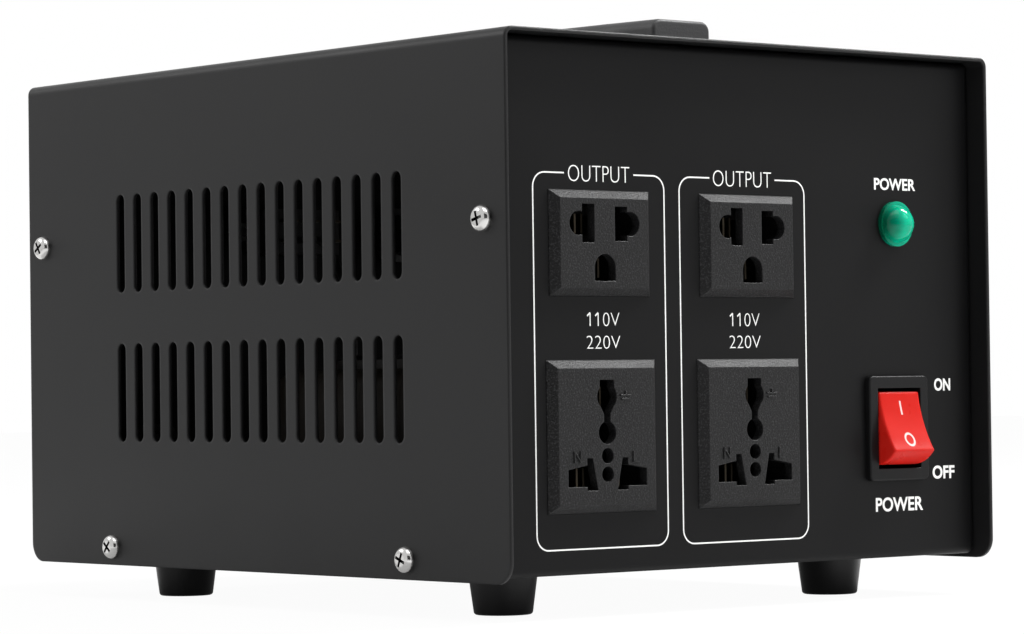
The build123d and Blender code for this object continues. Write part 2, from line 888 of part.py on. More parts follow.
def make_switch_housing():
    frame = RectangleRounded(bezel_width, bezel_height, bezel_radius)
    bezel = wall_y(frame, bezel_front, panel_front, switch_x, switch_height)
    rim = bezel.edges().filter_by(lambda e: near(e.center().Y, bezel_front))
    housing = fillet(rim, bezel_edge_radius)
    half_w, half_h = switch_body_width / 2, switch_body_height / 2
    housing += block(switch_x - half_w, switch_x + half_w, panel_front, switch_end,
                     switch_height - half_h, switch_height + half_h)
    for sign in (-1, 1):
        edge = switch_height + sign * half_h
        catch = make_face(Polyline([
            (panel_back + slip_gap, edge - sign * switch_tab_height),
            (panel_back + slip_gap, edge + sign * switch_tab_height),
            (panel_back + slip_gap + switch_tab_length, edge - sign * switch_tab_height),
        ], close=True))
        half = switch_tab_span / 2
        housing += wall_x(catch, switch_x - half, switch_x + half, 0, 0)
    housing -= block(switch_x - well_width / 2, switch_x + well_width / 2, bezel_front - overrun,
                     well_floor, switch_height - well_height / 2, switch_height + well_height / 2)
    reach = well_width / 2 + rocker_pin_reach + slip_gap
    housing -= rod_x(rocker_pin_radius + rocker_pin_gap, switch_x - reach, switch_x + reach,
                     pivot_y, switch_height)
    for rise in (-terminal_pitch_z, 0, terminal_pitch_z):
        half_x = terminal_width / 2 + seat_gap
        half_z = terminal_thickness / 2 + seat_gap
        z = switch_height + rise
        housing -= block(switch_x - half_x, switch_x + half_x, well_floor - overrun,
                         switch_end + overrun, z - half_z, z + half_z)
    return housing


def turned(shape, angle, y):
    """A switch piece drawn about the origin, tilted and set at its pivot."""
    return Pos(switch_x, y, switch_height) * Rot(angle, 0, 0) * shape


def make_rocker():
    half = rocker_width / 2
    rocker = rod_x(rocker_radius, -half, half, 0, 0)
    tip_y = rocker_radius * cos(radians(rocker_half_angle))
    tip_z = rocker_radius * sin(radians(rocker_half_angle))
    dish = (tip_z ** 2 + rocker_dish ** 2) / (2 * rocker_dish)
    dish_y = -tip_y + rocker_dish - dish
    rocker -= rod_x(dish, -half - overrun, half + overrun, dish_y, 0)
    rocker -= block(-half - overrun, half + overrun, -2 * rocker_radius, -tip_y,
                    -2 * rocker_radius, 2 * rocker_radius)
    rocker -= block(-half - overrun, half + overrun, rocker_back, rocker_radius + overrun,
                    -2 * rocker_radius, 2 * rocker_radius)
    front = rocker.edges().filter_by(lambda e: e.center().Y < -rocker_edge_radius)
    rocker = fillet(front, rocker_edge_radius)
    reach = well_width / 2 + rocker_pin_reach
    rocker += rod_x(rocker_pin_radius, -reach, reach, 0, 0)
    rocker -= rod_y(plunger_radius, rocker_back - plunger_seat, rocker_back + overrun, 0, 0)
    return turned(rocker, -rocker_rest_angle, pivot_y)


def make_plunger():
    end = rocker_back + plunger_length - plunger_radius
    plunger = rod_y(plunger_radius, rocker_back - plunger_seat, end, 0, 0)
    plunger += Pos(0, end, 0) * Sphere(plunger_radius)
    return turned(plunger, -rocker_rest_angle, pivot_y)


def make_lever():
    half = lever_width / 2
    thick = lever_thickness / 2
    lever = block(-half, half, -thick, thick, -lever_length / 2, lever_length / 2)
    reach = half + slip_gap + stand_width
    lever += rod_x(lever_pivot_radius, -reach, reach, 0, 0)
    return turned(lever, lever_rest_angle, lever_y)


def make_terminals():
    """Lower and upper fixed contacts, and the fork that carries the lever."""
    half = terminal_width / 2
    thick = terminal_thickness / 2
    end = switch_end + terminal_length
    pieces = []
    for rise in (-terminal_pitch_z, terminal_pitch_z):
        z = switch_height + rise
        blade = block(switch_x - half, switch_x + half, well_floor, end, z - thick, z + thick)
        button = rod_y(contact_button_radius, well_floor - contact_button_height, well_floor,
                       switch_x, z)
        pieces.append(blade + button)
    z = switch_height
    inner = lever_width / 2 + slip_gap
    outer = inner + stand_width
    fork = block(switch_x - half, switch_x + half, well_floor, end, z - thick, z + thick)
    fork += block(switch_x - outer, switch_x + outer, well_floor - terminal_thickness, well_floor,
                  z - stand_height / 2, z + stand_height / 2)
    for x0, x1 in ((-outer, -inner), (inner, outer)):
        fork += block(switch_x + x0, switch_x + x1, lever_y - stand_rise, well_floor,
                      z - stand_height / 2, z + stand_height / 2)
    fork -= rod_x(lever_pivot_radius + lever_pin_gap, switch_x - outer - overrun,
                  switch_x + outer + overrun, lever_y, z)
    pieces.append(fork)
    return pieces


# Fuse holder


fuse_height = cover_bottom + fuse_z
fuse_mouth = rear_face + fuse_flange_thickness
fuse_out = fuse_mouth + slip_gap - fuse_fit_gap
fuse_in = fuse_out - fuse_length
fuse_floor = fuse_in - moving_gap - fuse_tab_thickness
fuse_end = fuse_floor - fuse_bore_floor
fuse_side_y = (rear_inner - fuse_nut_height + fuse_end) / 2


def make_fuse_holder():
    holder = rod_y(fuse_barrel_radius, fuse_end, rear_face, fuse_x, fuse_height)
    holder += rod_y(fuse_flange_radius, rear_face, fuse_mouth, fuse_x, fuse_height)
    holder -= rod_y(fuse_bore_radius, fuse_floor, fuse_mouth + overrun, fuse_x, fuse_height)
    half = fuse_tab_width / 2 + seat_gap
    thick = fuse_tab_thickness / 2 + seat_gap
    holder -= block(fuse_x - half, fuse_x + half, fuse_end - overrun, fuse_floor,
                    fuse_height - thick, fuse_height + thick)
    holder -= block(fuse_x - half, fuse_x + half, fuse_side_y - thick, fuse_side_y + thick,
                    fuse_height - fuse_barrel_radius - overrun, fuse_height)
    return holder


def make_fuse_terminals():
    half = fuse_tab_width / 2
    thick = fuse_tab_thickness / 2
    end = rod_y(fuse_bore_radius - fuse_fit_gap, fuse_floor, fuse_floor + fuse_tab_thickness,
                fuse_x, fuse_height)
    end += block(fuse_x - half, fuse_x + half, fuse_end - fuse_tab_length, fuse_floor,
                 fuse_height - thick, fuse_height + thick)
    side = block(fuse_x - half, fuse_x + half, fuse_side_y - thick, fuse_side_y + thick,
                 fuse_height - fuse_barrel_radius - fuse_tab_length, fuse_height)
    side -= rod_y(fuse_radius + moving_gap, fuse_end, fuse_mouth, fuse_x, fuse_height)
    return [end, side]


def make_fuse_nut():
    nut = hex_y(fuse_nut_flats, rear_inner - fuse_nut_height, rear_inner, fuse_x, fuse_height)
    return nut - rod_y(fuse_barrel_radius + thread_gap, fuse_end, rear_face, fuse_x, fuse_height)


def make_fuse_cap():
    near_face = fuse_mouth + slip_gap
    far_face = near_face + fuse_cap_length
    knob = rod_y(fuse_cap_radius, near_face, far_face, fuse_x, fuse_height)
    rim = knob.edges().filter_by(lambda e: near(e.center().Y, far_face))
    cap = fillet(rim, fuse_cap_edge_radius)
    cap += rod_y(fuse_bore_radius - fuse_cap_gap, near_face - fuse_cap_skirt_length, near_face,
                 fuse_x, fuse_height)
    cap -= rod_y(fuse_radius + fuse_fit_gap, near_face - fuse_cap_skirt_length - overrun, near_face,
                 fuse_x, fuse_height)
    half = fuse_cap_slot_width / 2
    cap -= block(fuse_x - fuse_cap_radius, fuse_x + fuse_cap_radius,
                 far_face - fuse_cap_slot_depth, far_face + overrun,
                 fuse_height - half, fuse_height + half)
    return cap


def make_fuse_glass():
    inset = fuse_radius - fuse_glass_radius
    return rod_y(fuse_glass_radius, fuse_in + inset, fuse_out - inset, fuse_x, fuse_height)


def make_fuse_ferrules():
    inset = fuse_radius - fuse_glass_radius
    caps = []
    for y0, y1 in ((fuse_in, fuse_in + fuse_end_length), (fuse_out - fuse_end_length, fuse_out)):
        cap = rod_y(fuse_radius, y0, y1, fuse_x, fuse_height)
        caps.append(cap - rod_y(fuse_glass_radius, fuse_in + inset, fuse_out - inset,
                                fuse_x, fuse_height))
    return caps


# Voltage selector


selector_height = cover_bottom + selector_z
selector_front = rear_face + selector_flange_thickness
selector_lip_end = selector_front - selector_lip
selector_room_end = selector_lip_end - selector_base_thickness - 2 * slip_gap
selector_body_end = rear_face - selector_body_depth
selector_tab_seat = (selector_room_end + selector_body_end) / 2
selector_travel = selector_window_width - selector_knob_width - 2 * slip_gap


def selector_tab_places():
    for column in (-1, 0, 1):
        for row in (-1, 1):
            x = selector_x + column * selector_tab_pitch_x
            yield x, selector_height + row * selector_tab_pitch_z / 2


def make_selector_housing():
    outline = RectangleRounded(selector_flange_width, selector_flange_height,
                               selector_flange_radius)
    housing = wall_y(outline, rear_face, selector_front, selector_x, selector_height)
    half_w, half_h = selector_body_width / 2, selector_body_height / 2
    housing += block(selector_x - half_w, selector_x + half_w, selector_body_end, rear_face,
                     selector_height - half_h, selector_height + half_h)
    half_w, half_h = selector_window_width / 2, selector_window_height / 2
    housing -= block(selector_x - half_w, selector_x + half_w, selector_lip_end,
                     selector_front + overrun, selector_height - half_h, selector_height + half_h)
    half_h = selector_base_height / 2 + slip_gap
    housing -= block(selector_x - half_w, selector_x + half_w, selector_room_end,
                     selector_lip_end, selector_height - half_h, selector_height + half_h)
    for sign in (-1, 1):
        housing -= rod_y(selector_screw_radius + slip_gap, selector_body_end - overrun,
                         selector_front + overrun, selector_x + sign * selector_screw_pitch / 2,
                         selector_height)
    for x, z in selector_tab_places():
        half_x = selector_tab_width / 2 + seat_gap
        half_z = selector_tab_thickness / 2 + seat_gap
        housing -= block(x - half_x, x + half_x, selector_body_end - overrun, selector_tab_seat,
                         z - half_z, z + half_z)
    return housing


def make_selector_slider():
    x0 = selector_x - selector_window_width / 2 + slip_gap
    x1 = x0 + selector_knob_width
    half = selector_window_height / 2 - slip_gap
    face = selector_front - selector_knob_sink
    room = selector_room_end + slip_gap
    slider = block(x0, x1, room, face, selector_height - half, selector_height + half)
    half = selector_base_height / 2
    slider += block(x0, x1, room, room + selector_base_thickness,
                    selector_height - half, selector_height + half)
    middle = (x0 + x1) / 2
    half = selector_slot_width / 2
    slider -= block(middle - half, middle + half, face - selector_slot_depth, face + overrun,
                    selector_height - selector_window_height, selector_height + selector_window_height)
    return slider


def make_selector_screws():
    length = selector_front - rear_inner + selector_nut_height + selector_screw_tail
    screws = []
    for sign in (-1, 1):
        screw = pan_screw(selector_screw_radius, length, selector_screw_head_radius,
                          selector_screw_head_height)
        x = selector_x + sign * selector_screw_pitch / 2
        turn = sign * selector_screw_turn
        screws.append(facing(x, selector_front, selector_height, (0, 1, 0), turn) * screw)
    return screws


def make_selector_nuts():
    nuts = []
    for sign in (-1, 1):
        x = selector_x + sign * selector_screw_pitch / 2
        nut = hex_y(selector_nut_flats, rear_inner - selector_nut_height, rear_inner,
                    x, selector_height)
        nuts.append(nut - rod_y(selector_screw_radius + thread_gap, selector_body_end,
                                rear_face, x, selector_height))
    return nuts


def make_selector_terminals():
    half_x, half_z = selector_tab_width / 2, selector_tab_thickness / 2
    end = selector_body_end - selector_tab_length
    return [block(x - half_x, x + half_x, end, selector_tab_seat, z - half_z, z + half_z)
            for x, z in selector_tab_places()]


# Cable gland


gland_height = cover_bottom + gland_z
gland_hex_end = rear_face + gland_hex_length
gland_spigot_radius = (gland_bore_radius + gland_dome_radius) / 2
gland_spigot_end = gland_hex_end + gland_dome_length * gland_spigot_share
gland_end = gland_hex_end + gland_dome_length


def make_gland():
    body = rod_y(gland_thread_radius, rear_face - gland_thread_length, rear_face,
                 gland_x, gland_height)
    body += hex_y(gland_hex_flats, rear_face, gland_hex_end, gland_x, gland_height)
    body += rod_y(gland_spigot_radius, gland_hex_end, gland_spigot_end, gland_x, gland_height)
    return body - rod_y(gland_bore_radius, rear_face - gland_thread_length - overrun,
                        gland_end + overrun, gland_x, gland_height)


def make_gland_cap():
    shoulder = gland_hex_end + gland_dome_length / 2
    foot = Plane(origin=(gland_x, shoulder, gland_height), x_dir=(1, 0, 0), z_dir=(0, 1, 0))
    tip = Plane(origin=(gland_x, gland_end, gland_height), x_dir=(1, 0, 0), z_dir=(0, 1, 0))
    cap = loft([foot * Circle(gland_dome_radius), tip * Circle(gland_dome_end_radius)])
    cap += rod_y(gland_dome_radius, gland_hex_end, shoulder, gland_x, gland_height)
    cap -= rod_y(gland_spigot_radius + thread_gap, gland_hex_end - overrun,
                 gland_spigot_end + seat_gap, gland_x, gland_height)
    return cap - rod_y(gland_bore_radius, gland_hex_end, gland_end + overrun, gland_x, gland_height)


def make_gland_locknut():
    nut = hex_y(gland_nut_flats, rear_inner - gland_nut_height, rear_inner, gland_x, gland_height)
    return nut - rod_y(gland_thread_radius + thread_gap, rear_face - gland_thread_length - overrun,
                       rear_face, gland_x, gland_height)


# Transformer


lower_pad_top = floor_top + pad_thickness
ring_top = lower_pad_top + ring_height
upper_pad_top = ring_top + pad_thickness
dish_floor = upper_pad_top - dish_drop
dish_centre_top = dish_floor + dish_thickness
ring_nut_top = dish_centre_top + ring_nut_height


def make_ring():
    ring = rod_z(ring_outer_radius, lower_pad_top, ring_top, 0, ring_y)
    ring -= rod_z(ring_inner_radius, floor_top, ring_top + overrun, 0, ring_y)
    rims = ring.edges().filter_by(lambda e: e.length > ring_inner_radius * pi)
    rims = rims.filter_by(lambda e: near(e.center().Z, lower_pad_top) or near(e.center().Z, ring_top))
    return fillet(rims, ring_edge_radius)


def make_pad(z0, hole_radius):
    pad = rod_z(pad_radius, z0, z0 + pad_thickness, 0, ring_y)
    return pad - rod_z(hole_radius, z0 - overrun, z0 + pad_thickness + overrun, 0, ring_y)


def make_dish():
    low, high = dish_floor, upper_pad_top
    t = dish_thickness
    hole = ring_bolt_radius + slip_gap
    profile = make_face(Polyline([
        (hole, low), (dish_flat_radius, low), (ring_inner_radius, high), (dish_radius, high),
        (dish_radius, high + t), (ring_inner_radius - t, high + t),
        (dish_flat_radius - t, low + t), (hole, low + t)], close=True))
    return Pos(0, ring_y, 0) * revolve(Plane.XZ * profile, Axis.Z)


def make_ring_bolt():
    head_bottom = floor_bottom - ring_bolt_head_height
    bolt = hex_z(ring_bolt_head_flats, head_bottom, floor_bottom, 0, ring_y)
    return bolt + rod_z(ring_bolt_radius, floor_bottom, ring_nut_top + ring_bolt_tail, 0, ring_y)


def make_ring_nut():
    nut = hex_z(ring_nut_flats, dish_centre_top, ring_nut_top, 0, ring_y)
    return nut - rod_z(ring_bolt_radius + thread_gap, floor_bottom, chassis_top, 0, ring_y)


# Terminal block and earth stud


block_top = floor_top + block_height
block_middle = floor_top + block_height / 2


def block_way_places():
    return [block_x + (index - (block_ways - 1) / 2) * block_way_pitch for index in range(block_ways)]


def make_terminal_block():
    half_l, half_w = block_length / 2, block_width / 2
    body = block(block_x - half_l, block_x + half_l, block_y - half_w, block_y + half_w,
                 floor_top, block_top)
    for x in block_way_places():
        body -= rod_y(block_bore_radius, block_y - half_w - overrun, block_y + half_w + overrun,
                      x, block_middle)
        for sign in (-1, 1):
            y = block_y + sign * block_width / 4
            body -= rod_z(block_screw_radius + thread_gap, block_middle, block_top + overrun, x, y)
    return body


def make_terminal_screws():
    screws = []
    for x in block_way_places():
        for sign in (-1, 1):
            y = block_y + sign * block_width / 4
            top = block_top - block_screw_slot_depth
            screw = rod_z(block_screw_radius, block_middle + block_bore_radius, top, x, y)
            half = block_screw_slot_width / 2
            screw -= block(x - block_screw_radius, x + block_screw_radius, y - half, y + half,
                           top - block_screw_slot_depth, top + overrun)
            screws.append(screw)
    return screws


def make_earth_stud():
    stud = rod_z(stud_head_radius, floor_top, floor_top + stud_head_height, stud_x, stud_y)
    return stud + rod_z(stud_radius, floor_top, floor_top + stud_length, stud_x, stud_y)


def make_earth_nut():
    low = floor_top + stud_head_height
    nut = hex_z(stud_nut_flats, low, low + stud_nut_height, stud_x, stud_y)
    return nut - rod_z(stud_radius + thread_gap, floor_top, chassis_top, stud_x, stud_y)


# Leads


def landing(angle):
    """The last run of a lead, straight down onto the flat top of the ring."""
    x = lead_landing_radius * cos(radians(angle))
    y = ring_y + lead_landing_radius * sin(radians(angle))
    return [(x, y, ring_top + lead_drop), (x, y, ring_top)]


def leaving(start, run):
    """The first run of a lead, straight along Y from the tail that it is soldered to."""
    x, y, z = start
    return [start, (x, y + run, z)]


def outlet_tail(kind, column, pole):
    width, height, depth, z, poles = outlet_kinds[kind]
    pole_x, pole_z = poles[pole]
    y = panel_front + depth + outlet_back_wall + contact_tail_length
    return (outlet_columns[column] + pole_x, y, z + pole_z)


def make_lead(points):
    """A round lead of straight runs joined by the largest tangent arcs."""
    radii = []
    for a, b, c in zip(points, points[1:], points[2:]):
        before, after = Vector(*b) - Vector(*a), Vector(*c) - Vector(*b)
        half_turn = radians(before.get_angle(after)) / 2
        radii.append(lead_bend_share * min(before.length, after.length) / tan(half_turn))
    path = FilletPolyline(*points, radius=radii)
    section = Plane(origin=path @ 0, z_dir=path % 0) * Circle(lead_radius)
    lead = sweep(section, path=path)
    plain = pi * lead_radius ** 2 * path.length
    print("lead radii", [round(r, 1) for r in radii], "volume ratio", round(lead.volume / plain, 4))
    return lead


def make_red_leads():
    switch_tab = (switch_x, switch_end + terminal_length, switch_height - terminal_pitch_z)
    fuse_tab = (fuse_x, fuse_end - fuse_tab_length, fuse_height)
    return [
        make_lead([*leaving(outlet_tail("combo", "left", 0), lead_exit),
                   (-50.0, -46.0, 95.0), *landing(-135)]),
        make_lead([*leaving(outlet_tail("universal", "left", 0), lead_exit),
                   (-62.0, -50.0, 50.0), (-59.0, -36.0, 72.0), *landing(-150)]),
        make_lead([*leaving(switch_tab, lead_exit), (60.0, -54.0, 52.0),
                   (59.0, -38.0, 72.0), *landing(-30)]),
        make_lead([*leaving(fuse_tab, -lead_exit), (42.0, 52.0, 98.0), *landing(45)]),
    ]


def make_black_leads():
    block_mouth = (block_x, block_y, block_middle)
    selector_tab = (selector_x - selector_tab_pitch_x, selector_body_end - selector_tab_length,
                    selector_height - selector_tab_pitch_z / 2)
    near_link = leaving(outlet_tail("universal", "left", 1), lead_link_exit)
    far_link = leaving(outlet_tail("universal", "right", 0), lead_link_exit)
    return [
        make_lead([*leaving(outlet_tail("combo", "right", 1), lead_exit), (3.0, -51.0, 93.0),
                   *landing(-90)]),
        make_lead([*near_link, (-36.0, -62.0, 38.0), (-16.0, -62.0, 38.0), *reversed(far_link)]),
        make_lead([*leaving(block_mouth, lead_exit), (28.5, -58.0, 30.0), (29.0, -57.5, 52.0),
                   (28.0, -51.0, 74.0), *landing(-62)]),
        make_lead([*leaving(selector_tab, -lead_exit), (-10.5, 60.0, 94.0), *landing(104)]),
    ]


# Write every piece


save("cover", make_cover())
save_group("cover_screws", make_cover_screws())
chassis = make_chassis()
save("front_panel", between_seams(chassis, panel_front - overrun, front_seam))
save("floor_tray", between_seams(chassis, front_seam, rear_seam))
save("rear_panel", between_seams(chassis, rear_seam, rear_face + overrun))
for foot_name, (foot_at_x, foot_at_y) in foot_places().items():
    save(foot_name, make_foot(foot_at_x, foot_at_y))
save_group("foot_screws", make_foot_screws())
save_group("foot_nuts", make_foot_nuts())
save("carry_handle", make_handle())
save_group("handle_screws", make_handle_screws())
save_group("handle_washers", make_handle_washers())

for kind, (width, height, depth, z, poles) in outlet_kinds.items():
    contacts = []
    for column, x in outlet_columns.items():
        holes = combo_holes() if kind == "combo" else universal_holes()
        name = kind + "_outlet_" + column
        save(name + "_body", make_outlet_body(width, height, depth, x, z, holes))
        contacts += make_outlet_contacts(depth, x, z, poles)
        save(name + "_back", make_outlet_back(width, height, depth, x, z, poles))
    save_group(kind + "_outlet_contacts", contacts)

save("indicator_lens", make_lamp_lens())
save("indicator_nut", make_lamp_nut())
save("indicator_plug", make_lamp_plug())
save_group("indicator_pins", make_lamp_pins())
save("indicator_bulb", make_lamp_bulb())

save("switch_housing", make_switch_housing())
save("switch_rocker", make_rocker())
save("switch_plunger", make_plunger())
save("switch_lever", make_lever())
save_group("switch_terminals", make_terminals())

save("fuse_holder", make_fuse_holder())
save("fuse_holder_nut", make_fuse_nut())
save_group("fuse_terminals", make_fuse_terminals())
save("fuse_cap", make_fuse_cap())
save("fuse_glass", make_fuse_glass())
save_group("fuse_ferrules", make_fuse_ferrules())

save("selector_housing", make_selector_housing())
save("selector_slider", make_selector_slider())
save_group("selector_screws", make_selector_screws())
save_group("selector_nuts", make_selector_nuts())
save_group("selector_terminals", make_selector_terminals())

save("cable_gland", make_gland())
save("cable_gland_cap", make_gland_cap())
save("cable_gland_locknut", make_gland_locknut())

save("transformer_ring", make_ring())
save("transformer_lower_pad", make_pad(floor_top, ring_bolt_radius + moving_gap))
save("transformer_upper_pad", make_pad(ring_top, ring_inner_radius + moving_gap))
save("transformer_dish", make_dish())
save("transformer_bolt", make_ring_bolt())
save("transformer_nut", make_ring_nut())

save("terminal_block", make_terminal_block())
save_group("terminal_block_screws", make_terminal_screws())
save("earth_stud", make_earth_stud())
save("earth_nut", make_earth_nut())
save_group("leads_red", make_red_leads())
save_group("leads_black", make_black_leads())

# The whole, moved so that the origin is under its middle
every_shape = [shape for shapes in nodes.values() for shape in shapes]
low = min(shape.bounding_box().min.Y for shape in every_shape)
high = max(shape.bounding_box().max.Y for shape in every_shape)
middle = (low + high) / 2
for name, shapes in nodes.items():
    moved = [Pos(0, -middle, 0) * shape for shape in shapes]
    whole = moved[0]
    if len(moved) > 1:
        whole = Compound(children=moved)
    export_step(whole, "parts/" + name + ".step")

print("moved along Y by", round(-middle, 4), "from", round(low, 3), "to", round(high, 3))
print("rocker pivot", round(switch_x, 3), round(pivot_y - middle, 4), round(switch_height, 3))
print("lever pivot", round(switch_x, 3), round(lever_y - middle, 4), round(switch_height, 3))
print("selector travel", round(selector_travel, 3), "fuse mouth", round(fuse_mouth - middle, 4))
print("outlet face", round(outlet_face - middle, 4), "panel front", round(panel_front - middle, 4))
print("contacts start", round(outlet_face + outlet_face_wall + contact_setback - middle, 4))
print("gland from", round(rear_face - gland_thread_length - middle, 4), "to", round(gland_end - middle, 4))
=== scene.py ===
# %% [markdown]
# The subject is a mains voltage converter: a black steel box on rubber feet, with outlets, a lamp
# and a rocker switch on its front. Its solids come from a packed CAD model, already at real size,
# so this script never builds the box again. It loads the solids, gives each one a finish, adds the
# printed and raised marks, and sets up the light and the camera.
# %% Load the solids
import json
import math

import bmesh
import bpy
from mathutils import Matrix, Vector
from mathutils.bvhtree import BVHTree


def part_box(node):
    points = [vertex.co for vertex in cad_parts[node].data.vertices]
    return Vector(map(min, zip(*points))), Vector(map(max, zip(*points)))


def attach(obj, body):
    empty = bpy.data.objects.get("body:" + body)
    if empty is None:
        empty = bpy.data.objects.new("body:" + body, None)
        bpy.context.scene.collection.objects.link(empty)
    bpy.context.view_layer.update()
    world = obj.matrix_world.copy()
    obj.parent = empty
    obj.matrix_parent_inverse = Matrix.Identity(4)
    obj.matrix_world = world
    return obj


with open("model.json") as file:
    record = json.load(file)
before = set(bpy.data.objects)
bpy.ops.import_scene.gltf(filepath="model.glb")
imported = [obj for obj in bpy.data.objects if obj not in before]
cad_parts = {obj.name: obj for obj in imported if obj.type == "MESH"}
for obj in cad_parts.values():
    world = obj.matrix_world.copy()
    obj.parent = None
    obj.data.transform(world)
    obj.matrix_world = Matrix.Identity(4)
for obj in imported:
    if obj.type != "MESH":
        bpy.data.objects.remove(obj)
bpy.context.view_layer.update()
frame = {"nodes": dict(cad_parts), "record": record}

mm = 0.001
nodes = frame["nodes"]

# %% [markdown]
# A photograph of a box in two-point view can be matched only from one place. A long lens from
# about a metre away keeps the upright edges nearly parallel, so the camera is set by where it
# stands, by its compass turn, its tilt and its slight roll, instead of being aimed at a target.
# %% Camera
camera_place = Vector((-677.18, -821.89, 59.35)) * mm
camera_turn = -39.924
camera_tilt = 1.0955
camera_roll = -0.7313
lens_length = 129.47
sensor_width = 36.0
clip_near, clip_far = 0.01, 50.0


def stand_camera():
    data = bpy.data.cameras.new("camera")
    data.lens = lens_length
    data.sensor_width = sensor_width
    data.clip_start, data.clip_end = clip_near, clip_far
    camera = bpy.data.objects.new("camera", data)
    bpy.context.scene.collection.objects.link(camera)
    turn = Matrix.Rotation(math.radians(camera_turn), 4, "Z")
    tilt = Matrix.Rotation(math.radians(90 + camera_tilt), 4, "X")
    roll = Matrix.Rotation(math.radians(camera_roll), 4, "Z")
    camera.matrix_world = Matrix.Translation(camera_place) @ turn @ tilt @ roll
    bpy.context.scene.camera = camera


stand_camera()
bpy.context.scene.view_settings.view_transform = "Standard"
print("camera", round(camera_place.length, 3), "m away with a lens of", lens_length, "mm")

# %% [markdown]
# Black paint is mostly seen by what it reflects. A white room all round is the plainest studio,
# and it is shown only to the camera, in reflections and through clear pieces, so that it never
# adds light to the diffuse colours. A weaker world and three wide lamps light those at a plain
# level. A fourth lamp, high on the right, stands where the outlets' top bevels mirror it. The
# Light Path node tells which kind of ray asks, so each kind can be given its own share of the
# white. Each lamp's row is its place, the point it aims at, its size and its power in watts.
# %% World and lamps
world_light = 0.55
room_white = 1.0
pure_white = (1, 1, 1, 1)
lamps = {
    "top lamp": ((-0.3, -0.5, 1.5), (0, 0, 0.08), (1.2, 0.8), 9.0),
    "left lamp": ((-0.62, 0.62, 0.62), (-0.09, 0, 0.12), (0.4, 0.4), 2.0),
    "front lamp": ((0.55, -0.72, 0.62), (0, -0.1, 0.10), (0.4, 0.4), 1.4),
    "edge lamp": ((1.05, -0.42, 1.38), (0.0, -0.11, 0.08), (0.3, 0.7), 36.0),
}


def seen_by(tree, shares):
    """The share of the kind of ray that arrives; a ray of any other kind gets none."""
    path = tree.nodes.new("ShaderNodeLightPath")
    largest = None
    for ray, share in shares.items():
        part = tree.nodes.new("ShaderNodeMath")
        part.operation = "MULTIPLY"
        part.inputs[1].default_value = share
        tree.links.new(path.outputs[ray], part.inputs[0])
        if largest:
            either = tree.nodes.new("ShaderNodeMath")
            either.operation = "MAXIMUM"
            tree.links.new(largest, either.inputs[0])
            tree.links.new(part.outputs[0], either.inputs[1])
            part = either
        largest = part.outputs[0]
    return largest


def build_world():
    world = bpy.data.worlds.new("white room")
    world.use_nodes = True
    bpy.context.scene.world = world
    tree = world.node_tree
    tree.nodes.clear()
    strength = tree.nodes.new("ShaderNodeMapRange")
    strength.inputs["To Min"].default_value = world_light
    strength.inputs["To Max"].default_value = room_white
    light = tree.nodes.new("ShaderNodeBackground")
    light.inputs["Color"].default_value = pure_white
    out = tree.nodes.new("ShaderNodeOutputWorld")
    shown = seen_by(tree, {"Is Camera Ray": 1.0, "Is Glossy Ray": 1.0, "Is Transmission Ray": 1.0})
    tree.links.new(shown, strength.inputs["Value"])
    tree.links.new(strength.outputs["Result"], light.inputs["Strength"])
    tree.links.new(light.outputs["Background"], out.inputs["Surface"])


def hang_lamp(name, place, aim, size, watts):
    data = bpy.data.lights.new(name, "AREA")
    data.shape = "RECTANGLE"
    data.size, data.size_y = size
    data.energy = watts
    lamp = bpy.data.objects.new(name, data)
    bpy.context.scene.collection.objects.link(lamp)
    direction = Vector(aim) - Vector(place)
    lamp.rotation_euler = direction.to_track_quat("-Z", "Y").to_euler()
    lamp.location = place


build_world()
for lamp_name, (place, aim, size, watts) in lamps.items():
    hang_lamp(lamp_name, place, aim, size, watts)
print("lamps:", ", ".join(lamps))

# %% [markdown]
# The box stands on a plain white floor. To the camera the floor glows a little, so that it melts
# into the white room with no horizon, but only in part: the rest is lit, and keeps the shadow
# that ties the feet to the ground. In reflections it glows a little too.
# %% Floor
floor_glow = 0.96
floor_mirror_glow = 0.14
floor_size = 8.0
floor_white = (0.92, 0.92, 0.92, 1)


def as_object(name, bm, material):
    """Ends a bmesh: it becomes an object at the origin, in the scene."""
    mesh = bpy.data.meshes.new(name)
    bm.to_mesh(mesh)
    bm.free()
    mesh.materials.append(material)
    made = bpy.data.objects.new(name, mesh)
    bpy.context.scene.collection.objects.link(made)
    return made


def glowing_paper():
    material = bpy.data.materials.new("white floor")
    material.use_nodes = True
    tree = material.node_tree
    tree.nodes.clear()
    paper = tree.nodes.new("ShaderNodeBsdfDiffuse")
    paper.inputs["Color"].default_value = floor_white
    glow = tree.nodes.new("ShaderNodeEmission")
    glow.inputs["Color"].default_value = pure_white
    blend = tree.nodes.new("ShaderNodeMixShader")
    out = tree.nodes.new("ShaderNodeOutputMaterial")
    share = seen_by(tree, {"Is Camera Ray": floor_glow, "Is Glossy Ray": floor_mirror_glow})
    tree.links.new(share, blend.inputs["Fac"])
    tree.links.new(paper.outputs[0], blend.inputs[1])
    tree.links.new(glow.outputs[0], blend.inputs[2])
    tree.links.new(blend.outputs[0], out.inputs["Surface"])
    return material


def lay_floor():
    bm = bmesh.new()
    bmesh.ops.create_grid(bm, x_segments=1, y_segments=1, size=floor_size / 2)
    as_object("floor", bm, glowing_paper())


lay_floor()
print("floor of", floor_size, "m, glow", floor_glow)

